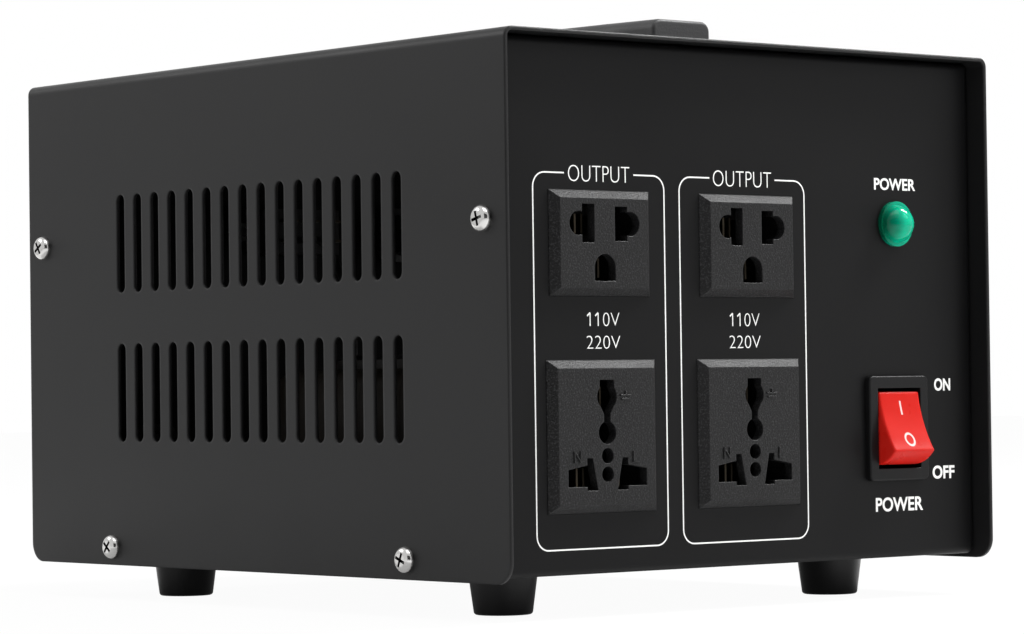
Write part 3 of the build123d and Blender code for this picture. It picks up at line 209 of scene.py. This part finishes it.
# %% [markdown]
# Behind a photographer the room is dark, and glossy black shows it: every edge and bevel that
# faces the camera has a black line next to a bright one. A dark card stands there. It is seen
# only in reflections, so it blocks no light and never shows behind the box.
# %% Dark card
card_place = Vector((-1.5, -1.8, 0.45))
card_size = (2.2, 1.8)
card_black = (0.01, 0.01, 0.01, 1)
half_unit = 0.5


def stand_card():
    bm = bmesh.new()
    bmesh.ops.create_grid(bm, x_segments=1, y_segments=1, size=half_unit)
    bmesh.ops.scale(bm, vec=(*card_size, 1), verts=bm.verts)
    facing = (-card_place).to_track_quat("Z", "Y").to_matrix()
    bmesh.ops.rotate(bm, matrix=facing, verts=bm.verts)
    bmesh.ops.translate(bm, vec=card_place, verts=bm.verts)
    felt = bpy.data.materials.new("card felt")
    felt.use_nodes = True
    felt.node_tree.nodes["Principled BSDF"].inputs["Base Color"].default_value = card_black
    card = as_object("dark card", bm, felt)
    card.visible_camera = False
    card.visible_diffuse = False
    card.visible_transmission = False
    card.visible_shadow = False


stand_card()
print("dark card", round(card_place.length, 2), "m away")

# %% [markdown]
# Every finish starts from the same few ideas: a base colour, a roughness, a pattern that varies
# both, and a fine bump. A small class keeps that short. The patterns read Object coordinates,
# which are real metres here, so a scale of 1000 makes features about a millimetre wide. Noise
# seldom leaves its middle range, so that range is the one spread between two roughnesses. A Bevel
# node rounds the shading of sharp edges, which is what gives a real edge its thin bright line.
# %% A material under construction
noise_low, noise_high = 0.35, 0.65
edge_samples = 6


class Finish:
    def __init__(self, name, colour, roughness, metallic=0.0):
        self.material = bpy.data.materials.new(name)
        self.material.use_nodes = True
        self.tree = self.material.node_tree
        self.shader = self.tree.nodes["Principled BSDF"]
        self.set("Base Color", (*colour, 1))
        self.set("Roughness", roughness)
        self.set("Metallic", metallic)
        self.coordinates = self.tree.nodes.new("ShaderNodeTexCoord").outputs["Object"]

    def set(self, socket, value):
        self.shader.inputs[socket].default_value = value

    def node(self, kind, **settings):
        made = self.tree.nodes.new("ShaderNode" + kind)
        for key, value in settings.items():
            setattr(made, key, value)
        return made

    def link(self, source, target):
        self.tree.links.new(source, target)

    def stretched(self, stretch):
        mapping = self.node("Mapping")
        mapping.inputs["Scale"].default_value = stretch
        self.link(self.coordinates, mapping.inputs["Vector"])
        return mapping.outputs["Vector"]

    def noise(self, scale, detail=3.0, stretch=None):
        made = self.node("TexNoise")
        made.inputs["Scale"].default_value = scale
        made.inputs["Detail"].default_value = detail
        source = self.stretched(stretch) if stretch else self.coordinates
        self.link(source, made.inputs["Vector"])
        return made.outputs["Fac"]

    def cells(self, scale):
        made = self.node("TexVoronoi")
        made.inputs["Scale"].default_value = scale
        self.link(self.coordinates, made.inputs["Vector"])
        return made.outputs["Distance"]

    def between(self, value, low, high, to_low=0.0, to_high=1.0):
        made = self.node("MapRange")
        made.inputs["From Min"].default_value = low
        made.inputs["From Max"].default_value = high
        made.inputs["To Min"].default_value = to_low
        made.inputs["To Max"].default_value = to_high
        self.link(value, made.inputs["Value"])
        return made.outputs["Result"]

    def math(self, operation, first, second=0.0):
        made = self.node("Math", operation=operation)
        for socket, value in zip(made.inputs, (first, second)):
            if isinstance(value, (int, float)):
                socket.default_value = value
            else:
                self.link(value, socket)
        return made.outputs[0]

    def colour_between(self, value, first, second):
        mix = self.node("Mix", data_type="RGBA")
        mix.inputs[6].default_value = (*first, 1)
        mix.inputs[7].default_value = (*second, 1)
        self.link(value, mix.inputs[0])
        self.link(mix.outputs[2], self.shader.inputs["Base Color"])

    def roughness_between(self, value, first, second):
        spread = self.between(value, noise_low, noise_high, first, second)
        self.link(spread, self.shader.inputs["Roughness"])

    def bump(self, height, depth, strength=1.0, edge=0.0):
        made = self.node("Bump")
        if edge:
            rounded = self.node("Bevel", samples=edge_samples)
            rounded.inputs["Radius"].default_value = edge
            self.link(rounded.outputs["Normal"], made.inputs["Normal"])
        made.inputs["Distance"].default_value = depth
        made.inputs["Strength"].default_value = strength
        self.link(height, made.inputs["Height"])
        self.link(made.outputs["Normal"], self.shader.inputs["Normal"])


print("a finish can:", ", ".join(name for name in vars(Finish) if name[0] != "_"))

# %% [markdown]
# The sheet steel is stove enamelled in satin black. Sprayed enamel dries with a soft ripple about
# a millimetre long, called orange peel, which breaks up reflections, and it is handled, so its
# gloss is uneven. The cover is a little glossier than the front, whose paint carries the print.
# %% Painted sheet
paint_edge = 0.9 * mm
cloud_scale, dust_scale, peel_scale = 22.0, 1500.0, 750.0
dust_low, dust_high = 0.72, 0.78
peel_depth = 0.02 * mm


def satin_paint(name, dark, pale, gloss_low, gloss_high, shine):
    paint = Finish(name, dark, gloss_low)
    paint.set("Specular IOR Level", shine)
    clouds = paint.noise(cloud_scale, detail=4.0)
    specks = paint.between(paint.noise(dust_scale, detail=1.0), dust_low, dust_high)
    tone = paint.math("MAXIMUM", paint.math("MULTIPLY", clouds, 0.5), specks)
    paint.colour_between(tone, dark, pale)
    paint.roughness_between(clouds, gloss_low, gloss_high)
    peel = paint.noise(peel_scale, detail=2.0)
    paint.bump(peel, peel_depth, strength=0.35, edge=paint_edge)
    return paint.material


cover_paint = satin_paint("cover paint", (0.006, 0.006, 0.0062), (0.011, 0.011, 0.0115),
                          gloss_low=0.36, gloss_high=0.44, shine=0.19)
panel_paint = satin_paint("panel paint", (0.003, 0.003, 0.0032), (0.006, 0.006, 0.0063),
                          gloss_low=0.40, gloss_high=0.48, shine=0.10)
print("paint edges rounded over", round(paint_edge / mm, 2), "mm")

# %% [markdown]
# The outlets are moulded in a spark-eroded tool, which leaves a fine, even grain of about half
# a millimetre. Cells make that grain, and a finer noise on top keeps it from looking tiled. Pale
# specks on the tips of the grain are painted highlights. The other plastics are the same recipe
# without the painted highlights, each with its own grain and gloss.
# %% Moulded plastics
moulded_edge = 0.4 * mm
speck_scale, patch_scale = 2300.0, 60.0
speck_low, speck_high = 0.52, 0.66
painted_glint_gain, patch_gain = 6, 1.5
dust_ratio = 2.3


def grained_plastic(name, colour, roughness, grain, depth, shine=0.3, painted_glints=0.0):
    plastic = Finish(name, colour, roughness)
    plastic.set("Specular IOR Level", shine)
    pits = plastic.cells(grain)
    dust = plastic.noise(grain * dust_ratio, detail=2.0)
    patches = plastic.noise(patch_scale)
    lighter = tuple(channel * patch_gain for channel in colour)
    tone = patches
    if painted_glints:
        # painted highlights: pale specks on the tips of the grain
        tips = plastic.noise(speck_scale, detail=1.0)
        specks = plastic.between(tips, speck_low, speck_high, to_high=painted_glints)
        lighter = tuple(channel * painted_glint_gain for channel in colour)
        tone = plastic.math("MAXIMUM", plastic.math("MULTIPLY", patches, 0.1), specks)
    plastic.colour_between(tone, colour, lighter)
    plastic.roughness_between(patches, roughness - 0.04, roughness + 0.06)
    height = plastic.math("ADD", pits, plastic.math("MULTIPLY", dust, 0.5))
    plastic.bump(height, depth, strength=0.6, edge=moulded_edge)
    return plastic.material


outlet_plastic = grained_plastic("outlet plastic", (0.005, 0.005, 0.0052), roughness=0.40,
                                 grain=1900.0, depth=0.12 * mm, shine=0.17, painted_glints=0.7)
handle_plastic = grained_plastic("handle plastic", (0.020, 0.020, 0.021), roughness=0.50,
                                 grain=1500.0, depth=0.06 * mm, shine=0.42)
switch_plastic = grained_plastic("switch plastic", (0.004, 0.004, 0.0042), roughness=0.34,
                                 grain=4200.0, depth=0.02 * mm, shine=0.13)
back_plastic = grained_plastic("outlet back plastic", (0.020, 0.019, 0.018), roughness=0.58,
                               grain=1800.0, depth=0.04 * mm)
fuse_plastic = grained_plastic("fuse holder plastic", (0.007, 0.007, 0.007), roughness=0.26,
                               grain=5200.0, depth=0.01 * mm)
selector_plastic = grained_plastic("selector plastic", (0.011, 0.011, 0.011), roughness=0.48,
                                   grain=2600.0, depth=0.03 * mm)
selector_red = grained_plastic("selector red", (0.42, 0.022, 0.016), roughness=0.42,
                               grain=2600.0, depth=0.02 * mm)
gland_nylon = grained_plastic("gland nylon", (0.011, 0.011, 0.0115), roughness=0.55,
                              grain=1900.0, depth=0.05 * mm)
white_plastic = grained_plastic("white plastic", (0.52, 0.51, 0.47), roughness=0.45,
                                grain=2300.0, depth=0.02 * mm)
print("moulded edges rounded over", round(moulded_edge / mm, 2), "mm")

# %% [markdown]
# Feet and pads are moulded rubber: a dull shine that shows as pale bands down the sides, a dusty
# bloom that lightens it in patches, and a slightly pitted surface. The sheen stands for the bloom
# seen at a glancing angle.
# %% Rubber
bloom_scale, bloom_gain = 180.0, 2.2
pit_scale, pit_depth = 2400.0, 0.05 * mm


def moulded_rubber(name, colour):
    rubber = Finish(name, colour, 0.36)
    rubber.set("Specular IOR Level", 0.22)
    rubber.set("Sheen Weight", 0.03)
    bloom = rubber.noise(bloom_scale, detail=5.0)
    rubber.colour_between(bloom, colour, tuple(channel * bloom_gain for channel in colour))
    rubber.roughness_between(bloom, 0.28, 0.40)
    rubber.bump(rubber.noise(pit_scale), pit_depth, strength=0.7)
    return rubber.material


foot_rubber = moulded_rubber("foot rubber", (0.003, 0.003, 0.0032))
pad_rubber = moulded_rubber("pad rubber", (0.014, 0.013, 0.012))
print("rubbers:", foot_rubber.name, "and", pad_rubber.name)

# %% [markdown]
# The cover screws are nickel plated and bright, with hair scratches from the driver. Inside, plain
# zinc-plated steel is duller, with a faint spangle. Brass contacts are stamped from rolled strip,
# which tarnishes a little, and their colour is made far darker still, a painted shade for the dark
# inside of the outlet holes. Each is one metal recipe with its own colour, gloss and grain. The
# drives of the bright screws are darkened by an Ambient Occlusion node, which finds hollows: that
# darkening is painted shade.
# %% Metals
recess_reach = 1.0 * mm
open_sky, walled_in = 0.95, 0.55
tarnish_scale = 320.0
scratch_depth = 0.008 * mm


def worked_metal(name, colour, tarnish_and_shade, gloss_low, gloss_high, grain, stretch, painted_hollow_shade=False):
    metal = Finish(name, colour, gloss_low, metallic=1.0)
    tone = metal.noise(tarnish_scale, detail=4.0)
    if painted_hollow_shade:
        # painted shade: hollows found by Ambient Occlusion take the dark second colour
        shade = metal.node("AmbientOcclusion", samples=8, only_local=True)
        shade.inputs["Distance"].default_value = recess_reach
        tone = metal.between(shade.outputs["AO"], open_sky, walled_in)
    metal.colour_between(tone, colour, tarnish_and_shade)
    metal.roughness_between(metal.noise(grain, 2.0, stretch), gloss_low, gloss_high)
    metal.bump(metal.noise(grain, 3.0, stretch), scratch_depth, strength=0.4)
    return metal.material


# The second colour here is the painted shade in the screw drives.
bright_steel = worked_metal("bright nickel", (0.52, 0.515, 0.505), (0.02, 0.02, 0.02),
                            gloss_low=0.10, gloss_high=0.20, grain=1800.0,
                            stretch=(1.0, 1.0, 5.0), painted_hollow_shade=True)
plain_steel = worked_metal("zinc-plated steel", (0.60, 0.61, 0.62), (0.46, 0.46, 0.46),
                           gloss_low=0.28, gloss_high=0.42, grain=1500.0,
                           stretch=(1.0, 1.0, 1.0))
# The dark brass colour is partly tarnish and partly painted shade for the dark inside of the outlet
# holes.
contact_brass = worked_metal("rolled brass", (0.075, 0.062, 0.045), (0.04, 0.034, 0.026),
                             gloss_low=0.36, gloss_high=0.50, grain=2200.0,
                             stretch=(1.0, 0.15, 1.0))
print("metals:", bright_steel.name, plain_steel.name, contact_brass.name, sep=", ")

# %% [markdown]
# The lamp lens and the rocker are clear-coloured plastics that light enters. The lens is bottle
# green with moulded ripples inside that scatter the light, so part of it passes and part glows
# under the skin. Its colour runs from deep green at the left side, a painted shade, to a bright
# core further right, a painted light. The rocker is a fire-engine red that only the outer
# millimetre lets in.
# %% Coloured plastics
lens_low, lens_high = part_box("indicator_lens")
lens_painted_shade_end, lens_painted_light_start = 0.08, 0.42
rocker_edge = 1.0 * mm


def lens_plastic():
    lens = Finish("green lens", (0.0, 0.50, 0.28), 0.10)
    lens.set("IOR", 1.25)
    lens.set("Specular IOR Level", 0.45)
    lens.set("Transmission Weight", 0.45)
    place = lens.node("SeparateXYZ")
    lens.link(lens.coordinates, place.inputs[0])
    width = lens_high.x - lens_low.x
    painted_shade_end = lens_low.x + lens_painted_shade_end * width
    painted_light_start = lens_low.x + lens_painted_light_start * width
    # painted shade at the left side of the lens and painted light in its core, set by place across
    painted_shade_to_light = lens.between(place.outputs[0], painted_shade_end, painted_light_start)
    swirl = lens.noise(260.0)
    painted_light = lens.math("MULTIPLY", painted_shade_to_light, lens.between(swirl, 0.2, 0.6, 0.7, 1.0))
    lens.colour_between(painted_light, (0.0, 0.11, 0.055), (0.0, 0.62, 0.37))
    lens.roughness_between(swirl, 0.05, 0.10)
    lens.bump(lens.noise(420.0, detail=1.0), 0.03 * mm, strength=0.4)
    return lens.material


def rocker_plastic():
    red = Finish("rocker red", (0.70, 0.012, 0.008), 0.24)
    red.set("Specular IOR Level", 0.09)
    red.set("Subsurface Weight", 0.25)
    red.set("Subsurface Radius", (1.0, 0.15, 0.1))
    red.set("Subsurface Scale", 1.2 * mm)
    depth = red.noise(170.0, detail=2.0)
    red.colour_between(depth, (0.44, 0.010, 0.006), (0.52, 0.014, 0.009))
    red.roughness_between(depth, 0.26, 0.36)
    red.bump(red.noise(3000.0, detail=2.0), 0.006 * mm, strength=0.4, edge=rocker_edge)
    return red.material


def clear_glass(name):
    glass = Finish(name, (0.94, 0.96, 0.95), 0.03)
    glass.set("Transmission Weight", 1.0)
    glass.set("IOR", 1.46)
    smears = glass.noise(240.0, detail=4.0)
    glass.roughness_between(smears, 0.02, 0.09)
    glass.bump(glass.noise(500.0, detail=1.0), 0.005 * mm, strength=0.3)
    return glass.material


lens_green = lens_plastic()
rocker_red = rocker_plastic()
lamp_glass = clear_glass("lamp glass")
fuse_link_glass = clear_glass("fuse glass")
print("lens", round((lens_high.x - lens_low.x) / mm, 1), "mm across")

# %% [markdown]
# The ring transformer is lapped all round with dark varnished tape, so its skin is a row of
# overlapping turns. The angle round the upright axis through the ring's centre, times the number
# of turns, gives a saw-tooth, and that sets both the step at each edge and its darker line.
# %% Tape round the transformer ring
ring_low, ring_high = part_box("transformer_ring")
ring_centre = (ring_low + ring_high) / 2
tape_turns = 92
lap_share = 0.12
lap_step = 0.12 * mm


def lapped_tape():
    tape = Finish("lapped tape", (0.012, 0.010, 0.008), 0.5)
    tape.set("Specular IOR Level", 0.12)
    moved = tape.node("Mapping")
    moved.inputs["Location"].default_value = -ring_centre
    tape.link(tape.coordinates, moved.inputs["Vector"])
    around = tape.node("TexGradient", gradient_type="RADIAL")
    tape.link(moved.outputs["Vector"], around.inputs["Vector"])
    saw = tape.math("FRACT", tape.math("MULTIPLY", around.outputs["Fac"], float(tape_turns)))
    edge = tape.between(saw, 0.0, lap_share)
    wear = tape.noise(150.0, detail=4.0)
    shade = tape.math("MULTIPLY", edge, tape.between(wear, 0.3, 0.7, 0.7, 1.0))
    tape.colour_between(shade, (0.004, 0.0035, 0.003), (0.016, 0.013, 0.010))
    tape.roughness_between(wear, 0.42, 0.58)
    height = tape.math("ADD", saw, tape.math("MULTIPLY", wear, 0.3))
    tape.bump(height, lap_step, strength=0.8)
    return tape.material


wound_tape = lapped_tape()
print("tape turns:", tape_turns)

# %% [markdown]
# The leads are copper in soft vinyl. Vinyl sleeves are extruded, so they are glossy with a slight
# waviness, and a dusty finish in places. Two colours tell line from neutral.
# %% Lead sleeves
dust_gain, dust_veil = 1.5, 0.01


def vinyl_sleeve(name, colour):
    sleeve = Finish(name, colour, 0.34)
    dust = sleeve.noise(300.0, detail=4.0)
    dusty = tuple(min(1.0, channel * dust_gain + dust_veil) for channel in colour)
    sleeve.colour_between(dust, colour, dusty)
    sleeve.roughness_between(dust, 0.28, 0.48)
    sleeve.bump(sleeve.noise(700.0, detail=2.0), 0.03 * mm, strength=0.4)
    return sleeve.material


lead_red = vinyl_sleeve("red sleeve", (0.42, 0.018, 0.012))
lead_black = vinyl_sleeve("black sleeve", (0.012, 0.012, 0.012))
print("sleeves:", lead_red.name, "and", lead_black.name)

# %% [markdown]
# The record of the part says which finish slot each solid takes, so one loop can dress them all.
# Only the material slots are touched, never a solid's mesh.
# %% Dress the solids
finishes = {
    "cover_paint": cover_paint,
    "panel_paint": panel_paint,
    "foot_rubber": foot_rubber,
    "pad_rubber": pad_rubber,
    "bright_steel": bright_steel,
    "plain_steel": plain_steel,
    "handle_plastic": handle_plastic,
    "outlet_plastic": outlet_plastic,
    "back_plastic": back_plastic,
    "contact_brass": contact_brass,
    "lens_green": lens_green,
    "white_plastic": white_plastic,
    "lamp_glass": lamp_glass,
    "switch_plastic": switch_plastic,
    "rocker_red": rocker_red,
    "fuse_plastic": fuse_plastic,
    "fuse_link_glass": fuse_link_glass,
    "selector_plastic": selector_plastic,
    "selector_red": selector_red,
    "gland_nylon": gland_nylon,
    "wound_tape": wound_tape,
    "lead_red": lead_red,
    "lead_black": lead_black,
}


def dress(solid, finish):
    if not solid.material_slots:
        solid.data.materials.append(finish)
    for held in solid.material_slots:
        held.material = finish


for part in frame["record"]["subparts"]:
    dress(nodes[part["node"]], finishes[part["material_slot"]])

# %% [markdown]
# The words and frames on the front are screen printed: a film of white ink a few hundredths of a
# millimetre thick, with slightly uneven cover where the mesh held back ink. The ink on the rocker
# is thinner, so the red glows through it. Where two strokes cross, one is sunk a hair below the
# other, so that their faces never lie in one plane.
# %% Printing ink
ink_film = 0.04 * mm
weave_scale = 2600.0
weld_reach = 0.001 * mm
sunk = 0.98


def screen_ink(name, thin, thick):
    ink = Finish(name, thick, 0.55)
    weave = ink.noise(weave_scale, detail=2.0)
    ink.colour_between(weave, thin, thick)
    ink.roughness_between(weave, 0.48, 0.62)
    ink.bump(weave, 0.01 * mm, strength=0.4)
    return ink.material


white_ink = screen_ink("white ink", (0.76, 0.76, 0.745), (0.90, 0.90, 0.885))
rocker_ink = screen_ink("rocker ink", (0.80, 0.40, 0.38), (0.86, 0.56, 0.53))
panel_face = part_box("front_panel")[0].y


def keep(name, bm, material, body):
    """Closes a bmesh into a piece that rides on a body."""
    bmesh.ops.remove_doubles(bm, verts=bm.verts, dist=weld_reach)
    bmesh.ops.recalc_face_normals(bm, faces=bm.faces)
    piece = as_object(name, bm, material)
    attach(piece, body)
    return piece


print("ink film", round(ink_film / mm, 3), "mm thick on the face at y", round(panel_face / mm, 2))

# %% [markdown]
# Text is set with Blender's own font, as a curve with a little depth, made a mesh, and then
# stretched into the rectangle that the printed word fills. That way a word's width and height are
# set directly, in millimetres on the panel. Offset thickens the strokes of the bold words and thins
# those of the others. The font's figure one is a bare stroke, so each one gets its flag, a small
# turned bar, whose place is a share of the word's width. Every range below is in millimetres, x
# from the middle and z from the ground.
# %% Words
flag_length, flag_stroke, flag_slant = 1.25, 0.42, 40
flag_overhang, flag_drop = 0.27, 0.36
letter_depth, letter_steps = 0.1, 5
column_words = {"left": ((-62.5, -41.5), (-55.8, -45.6), (-56.9, -45.4)),
                "right": ((-11.9, 9.4), (-5.6, 4.4), (-6.7, 4.7))}
output_z, low_volts_z, high_volts_z = (111.9, 116.1), (74.8, 78.3), (68.95, 72.35)
bold_words = {
    "print_power_lamp": ("POWER", (48.6, 64.8), (112.4, 115.7), 0.022),
    "print_power_switch": ("POWER", (47.5, 66.1), (23.9, 27.8), 0.022),
    "print_on": ("ON", (71.2, 77.7), (56.9, 60.4), 0.03),
    "print_off": ("OFF", (70.1, 78.9), (32.4, 36.1), 0.03),
}
light_weight = -0.02
ones_at = (0.0, 0.27)


def set_word(words, weight):
    curve = bpy.data.curves.new("word", "FONT")
    curve.body = words
    curve.offset = weight
    curve.extrude = letter_depth
    curve.resolution_u = letter_steps
    holder = bpy.data.objects.new("word", curve)
    bpy.context.scene.collection.objects.link(holder)
    graph = bpy.context.evaluated_depsgraph_get()
    mesh = bpy.data.meshes.new_from_object(holder.evaluated_get(graph))
    bpy.data.objects.remove(holder)
    bm = bmesh.new()
    bm.from_mesh(mesh)
    bpy.data.meshes.remove(mesh)
    return bm


def fit(bm, low, high):
    """Stretches and moves a bmesh so that it fills the box from low to high."""
    places = [v.co for v in bm.verts]
    start = Vector(min(p[i] for p in places) for i in range(3))
    end = Vector(max(p[i] for p in places) for i in range(3))
    size = Vector(high) - Vector(low)
    scale = Vector(size[i] / (end[i] - start[i]) for i in range(3))
    bmesh.ops.translate(bm, vec=-start, verts=bm.verts)
    bmesh.ops.scale(bm, vec=scale, verts=bm.verts)
    bmesh.ops.translate(bm, vec=Vector(low), verts=bm.verts)


def add_flag(bm, x, top, face, film):
    """The short slanted stroke at the top left of a figure one."""
    made = bmesh.ops.create_cube(bm, size=1.0)["verts"]
    bmesh.ops.scale(bm, vec=(flag_length * mm, film * sunk, flag_stroke * mm), verts=made)
    slant = Matrix.Rotation(math.radians(-flag_slant), 3, "Y")
    bmesh.ops.rotate(bm, matrix=slant, verts=made)
    across, up = x - flag_length * flag_overhang, top - flag_length * flag_drop
    bmesh.ops.translate(bm, vec=(across * mm, face - film / 2, up * mm), verts=made)


def front_word(name, words, x, z, weight=0.0, face=panel_face, film=ink_film,
               material=white_ink, ones=()):
    """A word that faces the front: x and z are its ranges in millimetres."""
    bm = set_word(words, weight)
    bmesh.ops.rotate(bm, matrix=Matrix.Rotation(math.radians(90), 3, "X"), verts=bm.verts)
    fit(bm, (x[0] * mm, face - film, z[0] * mm), (x[1] * mm, face, z[1] * mm))
    for share in ones:
        add_flag(bm, x[0] + share * (x[1] - x[0]), z[1], face, film)
    return keep(name, bm, material, "case")


for side, (output_x, low_volts_x, high_volts_x) in column_words.items():
    front_word("print_output_" + side, "OUTPUT", output_x, output_z, light_weight)
    front_word("print_110_" + side, "110V", low_volts_x, low_volts_z, light_weight, ones=ones_at)
    front_word("print_220_" + side, "220V", high_volts_x, high_volts_z, light_weight)
for name, (words, x, z, weight) in bold_words.items():
    front_word(name, words, x, z, weight)
print("words:", 3 * len(column_words) + len(bold_words))

# %% [markdown]
# A fine white line runs round each pair of outlets, broken where its heading stands. The line is
# drawn as it would be with a ruling pen: a short edge as wide as the line is extruded along each
# straight side and spun through a quarter turn at each corner, and then gets its thickness.
# %% Frames round the outlets
line_width = 0.38
line_corner = 4.0
corner_steps = 8
frame_low, frame_high = 17.6, 114.2
frame_lines = {"left": ((-74.6, -29.3), (-63.9, -40.1)), "right": ((-24.3, 21.8), (-13.2, 10.7))}


def draw_frame(name, sides, gap):
    bm = bmesh.new()
    face = (panel_face - ink_film) / mm
    tip = [bm.verts.new((gap[0], face, frame_high + offset)) for offset in (0, -line_width)]
    edge = bm.edges.new(tip)

    def run(edge, vector):
        made = bmesh.ops.extrude_edge_only(bm, edges=[edge])["geom"]
        moved = [v for v in made if isinstance(v, bmesh.types.BMVert)]
        bmesh.ops.translate(bm, vec=vector, verts=moved)
        return next(e for e in made if isinstance(e, bmesh.types.BMEdge))

    def corner(edge, centre):
        made = bmesh.ops.spin(bm, geom=[edge, *edge.verts], cent=(centre[0], face, centre[1]),
                              axis=(0, 1, 0), angle=math.radians(-90), steps=corner_steps,
                              use_merge=False, use_duplicate=False)
        return next(e for e in made["geom_last"] if isinstance(e, bmesh.types.BMEdge))

    left, right = sides
    inner_left, inner_right = left + line_corner, right - line_corner
    inner_low, inner_high = frame_low + line_corner, frame_high - line_corner
    edge = run(edge, (inner_left - gap[0], 0, 0))
    edge = corner(edge, (inner_left, inner_high))
    edge = run(edge, (0, 0, inner_low - inner_high))
    edge = corner(edge, (inner_left, inner_low))
    edge = run(edge, (inner_right - inner_left, 0, 0))
    edge = corner(edge, (inner_right, inner_low))
    edge = run(edge, (0, 0, inner_high - inner_low))
    edge = corner(edge, (inner_right, inner_high))
    run(edge, (gap[1] - inner_right, 0, 0))
    skin = bmesh.ops.extrude_face_region(bm, geom=bm.faces[:])["geom"]
    backs = [v for v in skin if isinstance(v, bmesh.types.BMVert)]
    bmesh.ops.translate(bm, vec=(0, ink_film / mm, 0), verts=backs)
    bmesh.ops.scale(bm, vec=(mm, mm, mm), verts=bm.verts)
    return keep(name, bm, white_ink, "case")


for side, (sides, gap) in frame_lines.items():
    draw_frame("print_frame_" + side, sides, gap)
print("frames", [round(right - left, 1) for (left, right), gap in frame_lines.values()], "mm wide")

# %% [markdown]
# The universal outlets have small raised marks in their own plastic: the letters for neutral and
# line, and the earth symbol, a stem over bars that get shorter. Places across are measured from
# the middle of each outlet.
# %% Raised marks on the universal outlets
outlet_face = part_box("universal_outlet_left_body")[0].y
mark_height = 0.32 * mm
mark_stroke = 0.45
stem_rise, stem_length = 0.6, 1.1
earth_bars = ((0.0, 3.6), (-0.95, 2.8))
columns = {"left": -52.2, "right": 0.0}
letters = {"neutral": ("N", (-11.5, -9.1), (39.9, 42.9)), "line": ("L", (8.6, 10.6), (39.6, 42.6))}
earth_x, earth_z = 6.3, 57.0


def add_bar(bm, x, z, width, height, face, depth):
    made = bmesh.ops.create_cube(bm, size=1.0)["verts"]
    bmesh.ops.scale(bm, vec=(width * mm, depth, height * mm), verts=made)
    bmesh.ops.translate(bm, vec=(x * mm, face - depth / 2, z * mm), verts=made)


def earth_mark(name, x, z):
    bm = bmesh.new()
    add_bar(bm, x, z + stem_rise, mark_stroke, stem_length, outlet_face, mark_height)
    for drop, width in earth_bars:
        add_bar(bm, x, z + drop, width, mark_stroke, outlet_face, mark_height * sunk)
    return keep(name, bm, outlet_plastic, "case")


for side, x in columns.items():
    for meaning, (letter, (left, right), z) in letters.items():
        front_word("mark_" + meaning + "_" + side, letter, (x + left, x + right), z, 0.0,
                   outlet_face, mark_height, outlet_plastic)
    earth_mark("mark_earth_" + side, x + earth_x, earth_z)
print("raised marks", round(mark_height / mm, 2), "mm high")

# %% [markdown]
# The rocker carries a stroke and a ring, filled with white paint. Its face is a shallow dish that
# leans back, so the marks are drawn flat in front of it and each corner is then dropped straight
# back on to the red surface, found by a ray. That keeps them on the skin wherever it curves.
# %% Marks on the rocker
rocker_x = 55.3
rocker_ray = 30 * mm
stroke_width, stroke_length, stroke_z = 0.62, 3.8, 52.4
ring_radii, ring_z = (1.9, 1.3), 43.7
ring_steps = 40


def skin_of(node):
    bm = bmesh.new()
    bm.from_mesh(nodes[node].data)
    tree = BVHTree.FromBMesh(bm)
    bm.free()
    return tree


def drop_on(bm, tree):
    """Moves each corner back along Y on to the surface, leaving one film of paint."""
    for v in bm.verts:
        start = Vector((v.co.x, panel_face - rocker_ray, v.co.z))
        v.co.y = tree.ray_cast(start, Vector((0, 1, 0)))[0].y - ink_film


def paint_on_rocker(name, bm):
    drop_on(bm, skin_of("switch_rocker"))
    made = bmesh.ops.extrude_face_region(bm, geom=bm.faces[:])["geom"]
    backs = [v for v in made if isinstance(v, bmesh.types.BMVert)]
    bmesh.ops.translate(bm, vec=(0, 2 * ink_film, 0), verts=backs)
    return keep(name, bm, rocker_ink, "rocker")


def rocker_stroke():
    bm = bmesh.new()
    bmesh.ops.create_grid(bm, x_segments=2, y_segments=12, size=half_unit)
    bmesh.ops.rotate(bm, matrix=Matrix.Rotation(math.radians(90), 3, "X"), verts=bm.verts)
    bmesh.ops.scale(bm, vec=(stroke_width * mm, 1, stroke_length * mm), verts=bm.verts)
    bmesh.ops.translate(bm, vec=(rocker_x * mm, 0, stroke_z * mm), verts=bm.verts)
    return paint_on_rocker("mark_stroke", bm)


def rocker_ring():
    bm = bmesh.new()
    for radius in ring_radii:
        bmesh.ops.create_circle(bm, segments=ring_steps, radius=radius * mm)
    bmesh.ops.bridge_loops(bm, edges=bm.edges[:])
    bmesh.ops.rotate(bm, matrix=Matrix.Rotation(math.radians(90), 3, "X"), verts=bm.verts)
    bmesh.ops.translate(bm, vec=(rocker_x * mm, 0, ring_z * mm), verts=bm.verts)
    return paint_on_rocker("mark_ring", bm)


for mark in (rocker_stroke(), rocker_ring()):
    print(mark.name, "has", len(mark.data.polygons), "faces")
